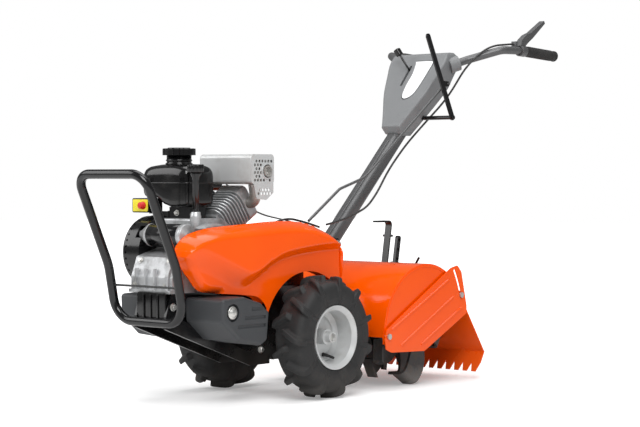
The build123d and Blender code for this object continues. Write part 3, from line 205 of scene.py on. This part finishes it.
def smooth_line(points, count):
    """Catmull-Rom through the points: each span leaves and enters along its neighbours' chord."""
    known = np.array(points, float)
    padded = np.vstack([2 * known[0] - known[1], known, 2 * known[-1] - known[-2]])
    place = np.linspace(0, len(known) - 1, count)
    span = np.minimum(place.astype(int), len(known) - 2)
    t = (place - span)[:, None]
    a, b, c, d = (padded[span + i] for i in range(4))
    return 0.5 * (2 * b + (c - a) * t + (2 * a - 5 * b + 4 * c - d) * t**2 + (3 * b - a - 3 * c + d) * t**3)


def ramp_up(value, low, high):
    """0 below low, 1 above high, and a smooth S between them."""
    t = np.clip((value - low) / (high - low), 0, 1)
    return t * t * (3 - 2 * t)


def grid_faces(rows, columns, loop_rows=False, loop_columns=False):
    """The quads of a grid of rows by columns points, which may close on itself either way."""
    i = np.arange(rows if loop_rows else rows - 1)[:, None]
    j = np.arange(columns if loop_columns else columns - 1)[None, :]
    i2, j2 = (i + 1) % rows, (j + 1) % columns
    quads = np.stack([i * columns + j, i * columns + j2, i2 * columns + j2, i2 * columns + j], axis=-1)
    return quads.reshape(-1, 4)


def capped(rings, around):
    """The quads round a stack of rings, with a flat cap on the first ring and on the last."""
    last = (rings - 1) * around
    caps = [list(range(around))[::-1], [last + corner for corner in range(around)]]
    return grid_faces(rings, around, loop_columns=True).tolist() + caps


def build(name, parts, coat, body, smooth=True):
    """Joins parts, each points in millimetres from the axle and faces, into one mesh that rides on a body."""
    points, faces, start = [], [], 0
    for part_points, part_faces in parts:
        part_points = np.asarray(part_points, float).reshape(-1, 3)
        points.append(part_points)
        faces += [[start + int(corner) for corner in face] for face in part_faces]
        start += len(part_points)
    placed = np.vstack(points) / 1000 + (0, AXLE_Y, 0)
    mesh = bpy.data.meshes.new(name)
    mesh.from_pydata(placed.tolist(), [], faces)
    mesh.validate()
    mesh.polygons.foreach_set("use_smooth", np.full(len(mesh.polygons), smooth))
    mesh.materials.append(coat)
    piece = bpy.data.objects.new(name, mesh)
    studio.collection.objects.link(piece)
    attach(piece, body)
    return piece


def tyre_mesh(side):
    """Turns the section about the axle; a bar lifts it to its own section, and sweeps back with the width."""
    rows = 101
    half = np.linspace(0, 1, rows // 2 + 1)
    base = smooth_line(CARCASS, len(half))
    high = smooth_line(LUG_TOP, len(half))
    flip = np.array([-1, 1])
    base = np.vstack([(base * flip)[:0:-1], base])
    high = np.vstack([(high * flip)[:0:-1], high])
    pitch = 360 / LUG_COUNT
    a = math.degrees(LUG_HALF / LUG_TOP_R)
    b = math.degrees((LUG_HALF + LUG_DRAFT) / LUG_FOOT_R)
    flank = a + 0.35 * (b - a)
    edge = np.array([-b, -flank, -a + 0.1, -a * 0.55, 0, a * 0.55, a - 0.1, flank, b])
    gap = np.linspace(b, pitch / 2 - b, 5)[1:-1]
    lines = np.concatenate([edge, gap, edge + pitch / 2, gap + pitch / 2])
    turn = (np.arange(LUG_COUNT)[:, None] * pitch + lines[None, :]).ravel()
    local = (turn + pitch / 4) % pitch - pitch / 4
    near_bar = 1 - ramp_up(np.abs(local), a * 0.9, b)
    far_bar = 1 - ramp_up(np.abs(local - pitch / 2), a * 0.9, b)
    x = base[:, 0]
    bar_end = ramp_up(x, -7, -3.5)
    lift = np.maximum(np.outer(bar_end, near_bar), np.outer(bar_end[::-1], far_bar))
    section = base[:, None, :] + lift[:, :, None] * (high - base)[:, None, :]
    rings = 0.8 * np.exp(-((base[:, 1] - 98) / 1.3)**2) + 0.7 * np.exp(-((base[:, 1] - 106) / 1.1)**2)
    width = section[:, :, 0] + (np.sign(x) * rings)[:, None]
    sweep = np.degrees(np.minimum(np.abs(x), 54) * LUG_SWEEP / SWEEP_WIDTH / SWEEP_R)
    angle = np.radians(turn[None, :] + sweep[:, None])
    radius = section[:, :, 1]
    points = np.stack([width, radius * np.sin(angle), -radius * np.cos(angle)], axis=-1)
    points = points * (side, 1, 1) + (side * WHEEL_X, 0, AXLE_Z)
    faces = grid_faces(rows, len(turn), loop_columns=True)
    return points, faces if side < 0 else faces[:, ::-1]


def rubber_look(place):
    low = 1 - place.axis(2).step(0.0, 0.09)
    dust = place.noise(26, 6.0, 0.65)
    fine = place.noise(420, 3.0, 0.6)
    soil = (low * 0.5 + dust).step(0.52, 0.86)
    plain = fine.tint((0.014, 0.014, 0.0145), (0.030, 0.030, 0.030))
    return {"Base Color": (soil * 0.30).tint(plain, (0.11, 0.10, 0.09)), "Roughness": 0.62 + 0.25 * soil,
            "Specular IOR Level": 0.35, "Normal": (fine * 0.4 + dust).bumps(0.22, 0.0012)}


tyre_rubber = finish("tyre_rubber", rubber_look)
for side, place in ((1, "left"), (-1, "right")):
    tread = build(f"lugged_tyre_{place}", [tyre_mesh(side)], tyre_rubber, f"wheel_{place}")
    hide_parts(f"tyre_{place}")


# Rims: pressed steel dishes in silver enamel on a welded hub, dulled in patches.
# Each has a black rubber valve stem low in the dish.
def silver_look(place):
    grain = place.noise(900, 2.0, 0.6)
    stain = place.noise(14, 5.0, 0.6)
    dull = stain.step(0.5, 0.8)
    return {"Base Color": dull.tint((0.56, 0.57, 0.57), (0.42, 0.41, 0.39)), "Metallic": 0.25,
            "Roughness": 0.32 + 0.25 * dull, "Normal": grain.bumps(0.08, 0.0004)}


def tube_mesh(path, radii, around=16):
    """Carries a circle along a path: each ring lies across the path's own direction."""
    path = np.array(path, float)
    ahead = np.gradient(path, axis=0)
    ahead /= np.linalg.norm(ahead, axis=1)[:, None]
    aside = np.cross(ahead, np.array([0.31, 0.17, 0.94]))
    aside /= np.linalg.norm(aside, axis=1)[:, None]
    above = np.cross(ahead, aside)
    turn = np.linspace(0, 2 * math.pi, around, endpoint=False)
    ring = np.cos(turn)[None, :, None] * aside[:, None, :] + np.sin(turn)[None, :, None] * above[:, None, :]
    points = path[:, None, :] + np.broadcast_to(radii, len(path))[:, None, None] * ring
    return points.reshape(-1, 3), capped(len(path), around)


silver_enamel = finish("silver_enamel", silver_look)
wear("rim_left", "rim_right", coat=silver_enamel)
for side, place in ((1, "left"), (-1, "right")):
    stem = [(side * x, y, AXLE_Z - drop)
            for x, y, drop in ((172, 14, 50), (182, 15, 51), (190, 16.5, 53), (200, 19, 56), (206, 20.5, 58))]
    tube = tube_mesh(stem, [5.5, 4.6, 4.0, 3.8, 3.2])
    valve = build(f"valve_stem_{place}", [tube], tyre_rubber, f"wheel_{place}")


# Transmission, brackets and bumper: castings and tube in black satin paint.
# Soil dust gathers low down, and the paint dulls there.
def black_look(place):
    low = 1 - place.axis(2).step(0.05, 0.30)
    cloud = place.noise(9, 5.0, 0.6)
    fine = place.noise(260, 2.0)
    dust = (cloud * 0.6 + low * 0.45).step(0.5, 1.0)
    return {"Base Color": dust.tint((0.005, 0.005, 0.0055), (0.040, 0.036, 0.031)),
            "Roughness": 0.16 + 0.45 * dust, "Normal": (fine * 0.5 + cloud).bumps(0.06, 0.0008)}


black_paint = finish("black_paint", black_look)
wear("transmission_case", "bumper", "tine_gearcase", "stake_bracket", "depth_lever", "handle_bracket",
     "depth_stake", "control_bar", "tank_mount", "fan_housing", "engine_frame", coat=black_paint)


# Side boxes: dark grey moulded plastic with a fine leather grain.
# A bolt through each holds it to the rail.
def box_look(place):
    grain = place.noise(700, 4.0, 0.7)
    cloud = place.noise(12, 3.0)
    return {"Base Color": cloud.tint((0.030, 0.033, 0.037), (0.048, 0.050, 0.053)),
            "Roughness": 0.48 + 0.12 * cloud, "Normal": grain.bumps(0.25, 0.0006)}


box_plastic = finish("box_plastic", box_look)
wear("side_weight_left", "side_weight_right", coat=box_plastic)


# Engine castings: pressure die-cast alloy, lightly blasted, with oil-dark patches.
# The cylinder's fins are cast with it.
def alloy_look(place):
    grit = place.noise(520, 3.0, 0.6)
    stain = place.noise(18, 5.0, 0.65)
    dark = stain.step(0.44, 0.70)
    return {"Base Color": dark.tint((0.54, 0.55, 0.56), (0.22, 0.22, 0.218)), "Metallic": 0.55,
            "Roughness": 0.36 + 0.2 * dark, "Normal": grit.bumps(0.3, 0.0006)}


cast_alloy = finish("cast_alloy", alloy_look)
wear("crankcase", "cylinder", coat=cast_alloy)


# Fuel cap, switch box, air cleaner and shift lever: black moulded plastic.
# A fine moulded texture and faint dust break up the reflections.
def moulding_look(place):
    grain = place.noise(640, 2.0)
    cloud = place.noise(16, 4.0)
    dust = cloud.step(0.5, 0.9)
    return {"Base Color": dust.tint((0.004, 0.004, 0.0042), (0.022, 0.021, 0.020)),
            "Roughness": 0.14 + 0.25 * dust, "Normal": grain.bumps(0.12, 0.0003)}


black_moulding = finish("black_moulding", moulding_look)
wear("fuel_cap", "switch_box", "air_cleaner", "shift_lever", coat=black_moulding)


# Exhaust: a heat-dulled steel box behind a perforated guard in silver enamel.
# The guard's holes are punched in the frame's own sheet.
def exhaust_look(place):
    heat = place.noise(22, 5.0, 0.6)
    burnt = heat.step(0.42, 0.72)
    return {"Base Color": burnt.tint((0.56, 0.55, 0.53), (0.30, 0.26, 0.22)), "Metallic": 0.7,
            "Roughness": 0.42 + 0.25 * burnt, "Normal": heat.bumps(0.15, 0.001)}


hot_steel = finish("hot_steel", exhaust_look)
wear("muffler", coat=hot_steel)
wear("muffler_guard", coat=silver_enamel)


# Belt cover, hood and shield: pressed sheet in orange gloss enamel.
# The enamel has a faint orange peel, and dust clings low down.
def enamel_look(place):
    peel = place.noise(330, 1.0, 0.4)
    cloud = place.noise(7, 4.0, 0.6)
    low = 1 - place.axis(2).step(0.02, 0.26)
    dust = (cloud * 0.55 + low * 0.5).step(0.5, 1.0)
    plain = cloud.tint((0.88, 0.080, 0.0), (0.96, 0.105, 0.0))
    return {"Base Color": (dust * 0.22).tint(plain, (0.33, 0.16, 0.07)), "Roughness": 0.13 + 0.3 * dust,
            "Specular IOR Level": 0.30, "Normal": peel.bumps(0.05, 0.0006)}


orange_enamel = finish("orange_enamel", enamel_look)
wear("hood", "shield_side_left", "shield_side_right", "shield_board", coat=orange_enamel)


# Tine rotor: spring-steel blades on flanges, their dark forged skin worn bright low down.
# Dry soil clings to them in patches.
def tine_look(place):
    scale = place.noise(40, 6.0, 0.7)
    fine = place.noise(300, 3.0)
    height = place.axis(2)
    worn = ((1 - height.step(0.01, 0.10)) * 0.7 + scale * 0.5).step(0.55, 0.95)
    soil = (fine * 0.3 + scale).step(0.62, 0.85)
    skin = worn.tint((0.035, 0.034, 0.034), (0.22, 0.21, 0.20))
    return {"Base Color": (soil * 0.6).tint(skin, (0.12, 0.085, 0.055)), "Metallic": 0.6 * worn,
            "Roughness": 0.52 + 0.2 * soil, "Normal": (scale + fine * 0.4).bumps(0.3, 0.001)}


tine_steel = finish("tine_steel", tine_look)
wear("tine_reel_left", "tine_reel_right", coat=tine_steel)


# Shafts and fasteners: zinc-plated steel, bright with a slight yellow cast.
# The axle, the rotor's shaft and the hood's bolts share it.
def zinc_look(place):
    brush = place.noise(240, 4.0, 0.7)
    return {"Base Color": brush.tint((0.52, 0.52, 0.50), (0.68, 0.67, 0.64)), "Metallic": 0.9,
            "Roughness": 0.28 + 0.2 * brush, "Normal": brush.bumps(0.06, 0.0004)}


zinc_steel = finish("zinc_steel", zinc_look)
wear("axle_shaft", "tine_shaft", "hood_bolts_left", "hood_bolts_right", coat=zinc_steel)


# Handle: steel column and bars in grey enamel, the console in grained grey plastic.
# The clutch lever and the shift rod have the same enamel.
def grey_look(place):
    peel = place.noise(420, 1.0)
    cloud = place.noise(10, 4.0)
    return {"Base Color": cloud.tint((0.090, 0.091, 0.093), (0.12, 0.121, 0.123)), "Metallic": 0.35,
            "Roughness": 0.30 + 0.12 * cloud, "Normal": peel.bumps(0.05, 0.0004)}


def console_look(place):
    grain = place.noise(800, 4.0, 0.7)
    cloud = place.noise(8, 3.0)
    return {"Base Color": cloud.tint((0.16, 0.165, 0.17), (0.20, 0.205, 0.21)),
            "Roughness": 0.45 + 0.1 * cloud, "Normal": grain.bumps(0.2, 0.0005)}


grey_enamel = finish("grey_enamel", grey_look)
console_plastic = finish("console_plastic", console_look)
wear("handle_column", "shift_rod", "handlebar_left", "handlebar_right", "clutch_lever", coat=grey_enamel)
wear("console", coat=console_plastic)


# Belt cover skin: one inflated pressing in orange enamel, with a lens-shaped bulge on its flank.
# Its top and nose roll over in a wide curve; the crease below the bulge steps in to a flat skirt.
# Outlines are (y, z) pairs, and depths count outwards from the cover's flat back.
COVER_TOP = [(-478, 396), (-474, 412), (-462, 428), (-444, 441), (-420, 451), (-376, 460), (-330, 465),
             (-212, 471), (-94, 476), (0, 471), (76, 452), (118, 433), (146, 414), (150, 406)]
COVER_REAR = [(150, 406), (144, 398), (140, 380), (144, 330), (148, 300), (150, 253)]
COVER_CHIN = [(-478, 396), (-470, 383), (-444, 354), (-424, 333), (-404, 312), (-380, 300), (-340, 295)]
COVER_FOOT = [(-340, 295), (-260, 288), (-206, 281), (-180, 266), (-165, 248)]
COVER_CREASE = [(-474, 396), (-450, 388), (-424, 383), (-396, 377), (-355, 362), (-307, 342), (-268, 329),
                (-240, 326), (-204, 339), (-155, 364), (-94, 384), (20, 397), (150, 403)]
COVER_NOSE = -478
COVER_LENGTH = 628
COVER_BACK = 97.4
SKIRT_DEPTH = 33
BULGE_DEPTH = 21
TOP_ROLL = 30
REAR_ROLL = 12
CHIN_ROLL = 20
ARCH_R = 174
ARCH_START = -165


def along(line, y):
    """The line's height over y, read from its smooth curve."""
    curve = smooth_line(line, 400)
    return np.interp(y, curve[:, 0], curve[:, 1])


def away(y, z, line):
    """Distance of each point from the nearest of many points along the line."""
    curve = smooth_line(line, 260)
    gap = (y[..., None] - curve[:, 0])**2 + (z[..., None] - curve[:, 1])**2
    return np.sqrt(gap.min(axis=-1))


def rolled(distance, radius):
    """0 at the edge, 1 from the radius on: a quarter of an ellipse between."""
    return np.sqrt(1 - (1 - np.clip(distance / radius, 0, 1))**2)


def cover_mesh():
    """Depth of the skin: skirt, plus bulge above the crease, rolled down along top, chin and rear."""
    t = np.linspace(0, 1, 190)
    y = COVER_NOSE + COVER_LENGTH * (0.45 * t + 0.55 * (1 - np.cos(math.pi * t)) / 2)
    v = np.linspace(0, 1, 76)
    v = 0.6 * v + 0.4 * (1 - np.cos(math.pi * v)) / 2
    arch = AXLE_Z + np.sqrt(np.maximum(ARCH_R**2 - y**2, 0))
    low = np.where(y > ARCH_START, arch, along(COVER_CHIN + COVER_FOOT[1:], y))
    high = along(COVER_TOP, y)
    y2 = np.broadcast_to(y[:, None], (len(y), len(v)))
    z = low[:, None] + (high - low)[:, None] * v
    over = z - along(COVER_CREASE, y)[:, None]
    soft = 1 - ramp_up(y, -300, -190)[:, None]
    face = SKIRT_DEPTH + BULGE_DEPTH * ramp_up(over, -8 - 22 * soft, 16 + 16 * soft)
    rolls = ((COVER_TOP, TOP_ROLL), (COVER_REAR, REAR_ROLL), (COVER_CHIN, CHIN_ROLL))
    edge = np.min([rolled(away(y2, z, line), radius) for line, radius in rolls], axis=0)
    full = SKIRT_DEPTH + BULGE_DEPTH
    x = COVER_BACK + np.minimum(face, full * edge) * (0.2 + 0.8 * edge)
    return np.stack([x, y2, z], axis=-1), grid_faces(len(y), len(v))[:, ::-1]


skin, quads = cover_mesh()
back = skin * (0, 1, 1) + (COVER_BACK + 0.2, 0, 0)
cover = build("belt_cover_skin", [(skin, quads), (back, quads[:, ::-1])], orange_enamel, "chassis")
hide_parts("belt_cover")


# Bolts: zinc-plated hexagon heads on washers, each on the outer face of the piece that it holds.
# A head is a six-sided prism with a chamfered top. The side boxes have a wide domed bolt each.
def turned(base, direction, profile, around=24):
    """Turns a profile of (distance along, radius) pairs about an axis that starts at base."""
    direction = np.array(direction, float) / np.linalg.norm(direction)
    path = np.array(base, float) + np.array([d for d, r in profile])[:, None] * direction
    aside = np.cross(direction, (0.31, 0.17, 0.94))
    aside /= np.linalg.norm(aside)
    above = np.cross(direction, aside)
    turn = np.linspace(0, 2 * math.pi, around, endpoint=False)[None, :, None]
    radius = np.array([r for d, r in profile])[:, None, None]
    points = path[:, None, :] + radius * (np.cos(turn) * aside + np.sin(turn) * above)
    return points.reshape(-1, 3), capped(len(profile), around)


def hex_bolt(base, direction, across):
    """A washer and a hexagon head, across its corners."""
    r = across / 2
    washer = turned(base, direction, [(0, r * 1.35), (1.2, r * 1.35), (1.5, r * 1.25)])
    head = turned(base, direction, [(1.4, r), (1.4 + r * 0.75, r), (1.4 + r * 0.9, r * 0.86)], around=6)
    return [washer, head]


RAIL_FACE = 58
BRACKET_FACE = 31
PIVOT_FACE = 34
MOUNT_FRONT = -328
CASE_FRONT = -444
CASE_RIB_FRONT = -450
CASE_SLOPE_Z = 336
CASE_SLOPE = (20, 52)
BOX_BOLT = (182, -356, 249)
BOX_DOME = [(0, 16.6), (7, 16.6), (8, 15.6), (9.4, 12.5), (9.9, 12), (12.6, 8.5), (13.6, 5), (14, 1)]


def chassis_bolt_meshes():
    """Both sides' bolts first, then the tank mount's two and the crankcase's four, on its front and slope."""
    bolts = []
    for side in (1, -1):
        outward = (side, 0, 0)
        bolts += [turned((side * BOX_BOLT[0], *BOX_BOLT[1:]), outward, BOX_DOME)]
        for y, z in ((-440, 262), (-120, 262), (-110, 130)):
            bolts += hex_bolt((side * RAIL_FACE, y, z), outward, 15)
        bolts += hex_bolt((side * BRACKET_FACE, 60, 352), outward, 15)
        bolts += hex_bolt((side * PIVOT_FACE, 236, 402), outward, 19)
    forward = (0, -1, 0)
    for x, z in ((-40, 500), (20, 496)):
        bolts += hex_bolt((x, MOUNT_FRONT, z), forward, 12)
    bolts += hex_bolt((-72, CASE_RIB_FRONT, 316), forward, 11)
    bolts += hex_bolt((34, CASE_FRONT, 316), forward, 11)
    back, up = CASE_SLOPE
    z = 378
    y = CASE_FRONT + (z - CASE_SLOPE_Z) * back / up
    for x in (-72, 34):
        bolts += hex_bolt((x, y, z), (0, -up, back), 11)
    return bolts


fasteners = build("chassis_bolts", chassis_bolt_meshes(), zinc_steel, "chassis", smooth=False)


# Front apron: a black moulded pan that closes the space between the rails, under the engine.
# It stands behind the bumper's foot, and three ribs stiffen its face.
def rounded_box(x, y, z, corner, edge=0.0, steps=6):
    """A box whose section across Y is a rounded rectangle, with its two ends drawn in by edge."""
    turn = np.linspace(0, 2 * math.pi, 4 * steps, endpoint=False) + math.pi / (4 * steps)
    cosine, sine = np.cos(turn), np.sin(turn)
    mid_x, mid_z = (x[0] + x[1]) / 2, (z[0] + z[1]) / 2
    half_x, half_z = (x[1] - x[0]) / 2, (z[1] - z[0]) / 2
    rings = []
    for depth, draw in ((y[0], edge), (y[0] + edge * 0.3, edge * 0.3), (y[0] + edge, 0), (y[1] - edge, 0),
                        (y[1] - edge * 0.3, edge * 0.3), (y[1], edge)):
        across = mid_x + np.sign(cosine) * (half_x - corner) + (corner - draw) * cosine
        up = mid_z + np.sign(sine) * (half_z - corner) + (corner - draw) * sine
        rings.append(np.stack([across, np.full_like(across, depth), up], axis=-1))
    return np.stack(rings), capped(len(rings), len(turn))


apron = [rounded_box((-52, 52), (-462, -456), (226, 300), 9, 1.5)]
apron += [rounded_box((x - 3, x + 3), (-466, -460), (232, 294), 2.5, 1.0) for x in (-26, 0, 26)]
build("front_apron", apron, black_moulding, "chassis")


# Starter motor: a black drawn-steel can between a die-cast nose and a cast end plate.
# The nose tapers towards the blower's housing.
STARTER = (-387, 443)
STARTER_CAN = [(0, 28.5), (1, 30.3), (112, 30.3), (114, 28.5)]
STARTER_NOSE = [(0, 8), (1, 11), (10, 14), (14, 17), (34, 28), (38, 30.5), (44, 30.5)]
STARTER_PLATE = [(0, 29), (1, 30.5), (15, 30.5), (17, 29), (18, 12), (20, 11), (20.5, 4)]
can, nose, plate = (turned((x, *STARTER), (1, 0, 0), profile, 48)
                    for x, profile in ((-70, STARTER_CAN), (-112, STARTER_NOSE), (42, STARTER_PLATE)))
body = build("starter_can", [can], black_paint, "chassis")
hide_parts("starter_motor")
ends = build("starter_castings", [nose, plate], cast_alloy, "chassis")


# Switch box: its front is a plain yellow plate, with a red key knob that stands out of it.
# The plate lies flat on the box's face.
def yellow_look(place):
    grain = place.noise(500, 2.0)
    return {"Base Color": grain.tint((0.74, 0.62, 0.02), (0.80, 0.70, 0.03)), "Roughness": 0.35 + 0.1 * grain,
            "Normal": grain.bumps(0.05, 0.0003)}


def red_look(place):
    grain = place.noise(420, 2.0)
    return {"Base Color": grain.tint((0.55, 0.012, 0.010), (0.66, 0.022, 0.015)),
            "Roughness": 0.30 + 0.15 * grain, "Normal": grain.bumps(0.06, 0.0003)}


yellow_plate = finish("yellow_plate", yellow_look)
red_knob = finish("red_knob", red_look)
sheet = rounded_box((-173, -116), (-361.6, -360.2), (503, 535), 3.5, 0.4)
face = build("switch_face", [sheet], yellow_plate, "chassis")
KNOB = [(0, 10), (4, 10), (5, 9), (14, 8.6), (15.5, 7), (15.8, 1)]
knob = [turned((-132.5, -361, 519), (0, -1, 0), KNOB, 20)]
build("key_knob", knob, red_knob, "chassis")


# Console front: a blank white panel on the moulding's sloping face.
# A thin black ring round the panel's edge is painted shade, standing for the shadowed gap between panel and
# moulding.
def panel_look(place):
    grain = place.noise(300, 2.0)
    return {"Base Color": grain.tint((0.74, 0.75, 0.76), (0.80, 0.81, 0.82)), "Roughness": 0.30 + 0.1 * grain,
            "Normal": grain.bumps(0.03, 0.0002)}


CONSOLE_LOW = np.array([520.0, 744.0])
CONSOLE_UP = np.array([144.0, 216.0]) / math.hypot(144.0, 216.0)


def on_console(flat, proud):
    """Lays (across, up the slope) points on the console's sloping front, raised by proud."""
    flat = np.array(flat, float)
    out = np.array([-CONSOLE_UP[1], CONSOLE_UP[0]])
    yz = CONSOLE_LOW + flat[:, 1:2] * CONSOLE_UP + proud * out
    return np.column_stack([flat[:, 0], yz])


def console_plate(outline, low, high):
    """A flat plate with a rounded outline between two heights over the console's front."""
    loop = smooth_line(outline + outline[:1], 72)[:-1]
    rings = np.stack([on_console(loop, low), on_console(loop, high)])
    return rings, capped(2, len(loop))


white_panel = finish("white_panel", panel_look)
PANEL = [(-4, 236), (48, 236), (62, 230), (58, 200), (50, 160), (38, 120), (22, 103), (4, 101), (-4, 116),
         (-4, 150), (2, 190), (0, 222)]
# The black ring behind the panel is painted shade for the gap round it, not a part of its own.
gap_shade_outline = [(27 + (across - 27) * 1.05, 170 + (up - 170) * 1.035) for across, up in PANEL]
plate = build("console_panel", [console_plate(PANEL, 0.2, 1.2)], white_panel, "handle", smooth=False)
painted_gap_shade = build("console_panel_gap_shade", [console_plate(gap_shade_outline, 0.1, 0.6)], black_moulding, "handle", smooth=False)


# Grips: black rubber tubes with fine rings round them, closed by a domed end with a flange.
# The rings fade out towards both ends.
GRIP_R = 15.6
RIB_HEIGHT = 0.75
RIB_PITCH = 5.2
GRIP_LENGTH = 150
GRIP_END = [(151, 16.4), (155, 16.4), (157.5, 14.5), (158.8, 10), (159, 1)]


def grip_mesh(side):
    """Turns a ribbed profile about the bar's last run; the ribs are a sine along it."""
    tip = np.array([side * 237.0, 1026.0, 965.5])
    tail = np.array([side * 237.0, 850.0, 974.0])
    ahead = (tip - tail) / np.linalg.norm(tip - tail)
    place = np.linspace(0, GRIP_LENGTH, 240)
    ribbed = ramp_up(place, 6, 14) * (1 - ramp_up(place, 132, 140))
    radius = GRIP_R + RIB_HEIGHT * np.sin(place * 2 * math.pi / RIB_PITCH) * ribbed
    profile = [(-0.01, 12.4)] + list(zip(place, radius)) + GRIP_END
    return turned(tip - ahead * GRIP_LENGTH, ahead, profile, 40)


for side, place in ((1, "left"), (-1, "right")):
    grip = build(f"ribbed_grip_{place}", [grip_mesh(side)], tyre_rubber, "handle")
    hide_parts(f"grip_{place}")


# Fuel tank: a blow-moulded black tank in two halves, joined by a flat seam flange.
# Its top is domed, and its floor steps up on the machine's right.
TANK_X = -72
TANK_Y = -291


def rounded_loop(count, power):
    """Across and deep from -1 to 1 round a loop; a small power makes it squarer."""
    turn = np.linspace(0, 2 * math.pi, count, endpoint=False)
    return [np.sign(wave) * np.abs(wave)**power for wave in (np.cos(turn), np.sin(turn))]


def tank_mesh():
    """Rings of a rounded rectangle: straight walls, a rolled shoulder, and a top that rises to the neck."""
    across, deep = rounded_loop(120, 0.36)
    rings = [(0, 0, 57), (0, 0, 14), (0, 2, 7), (0, 6, 3), (0, 12, 0.8), (0, 20, 0), (0, 40, 0),
             (1, -46, 0), (1, -30, 0), (1, -22, 0.6), (1, -15, 2.4), (1, -9, 5.4), (1, -4.5, 10),
             (1, -1.5, 16), (1, 0, 24), (1, 2, 38), (1, 3, 57)]
    share, rise, inset = (np.array(column, float)[:, None] for column in zip(*rings))
    x = TANK_X + (88 - inset) * across
    y = TANK_Y + (59 - inset) * deep
    floor = 514 + 26 * ramp_up(-x, 58, 96)
    roof = 627 - 5 * ((x + 60) / 90)**2
    z = floor * (1 - share) + roof * share + rise
    return np.stack([x, y, z], axis=-1), capped(len(rings), len(across))


def flange_mesh():
    """A thin ring plate round the tank, on the same rounded rectangle."""
    across, deep = rounded_loop(96, 0.42)
    rings = [np.stack([TANK_X + half * across, TANK_Y + (half - 29.5) * deep, z + 0 * across], axis=-1)
             for half, z in ((86, 577.6), (93.6, 577.6), (94, 578), (94, 580), (93.6, 580.4), (86, 580.4))]
    return np.stack(rings), grid_faces(len(rings), len(across), loop_columns=True)


NECK = [(0, 33), (10, 33), (11, 36), (15, 36), (16, 33), (20, 33), (21, 35), (24, 35), (25, 33), (36, 33)]
neck = turned((TANK_X, TANK_Y + 3, 616), (0, 0, 1), NECK, 64)
tank = build("moulded_tank", [tank_mesh(), flange_mesh(), neck], black_moulding, "chassis")
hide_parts("fuel_tank")


# Oil filler: a slim black tube in an alloy boss, flared under a ribbed cap that is turned by hand.
# The boss has the crankcase's alloy finish, and the tube stands in it.
FILLER = (48.0, -347.0)


def ribbed_cap(foot, top, radius, ribs):
    """Rings whose radius swells and falls with a cosine of the angle, once a rib, and close over the top."""
    turn = np.linspace(0, 2 * math.pi, ribs * 8, endpoint=False)
    rings = [(foot, 0.05, 0), (foot, 0.90, 0), (foot + 1.5, 0.955, 1), (top - 3, 0.955, 1),
             (top - 1, 0.92, 0.6), (top, 0.82, 0), (top, 0.60, 0), (top - 1.6, 0.54, 0), (top - 1.6, 0.05, 0)]
    height, share, depth = (np.array(column, float)[:, None] for column in zip(*rings))
    spread = radius * (share + 0.045 * depth * np.cos(ribs * turn))
    points = np.stack([FILLER[0] + spread * np.cos(turn), FILLER[1] + spread * np.sin(turn),
                       height + 0 * spread], axis=-1)
    return points, capped(len(rings), len(turn))


FILLER_TUBE = [(0, 8.6), (96, 8.6), (104, 10.5), (112, 14.5), (118, 15), (118.5, 1)]
FILLER_BOSS = [(0, 14.4), (8, 14.4), (10, 13), (17, 12.4), (18, 11.4), (18.2, 8)]
tube = turned((*FILLER, 489), (0, 0, 1), FILLER_TUBE, 32)
filler = build("oil_filler_tube", [tube, ribbed_cap(606.5, 627.5, 22, 14)], black_moulding, "chassis")
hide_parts("oil_filler")
boss = turned((*FILLER, 486), (0, 0, 1), FILLER_BOSS, 32)
build("filler_boss", [boss], cast_alloy, "chassis")
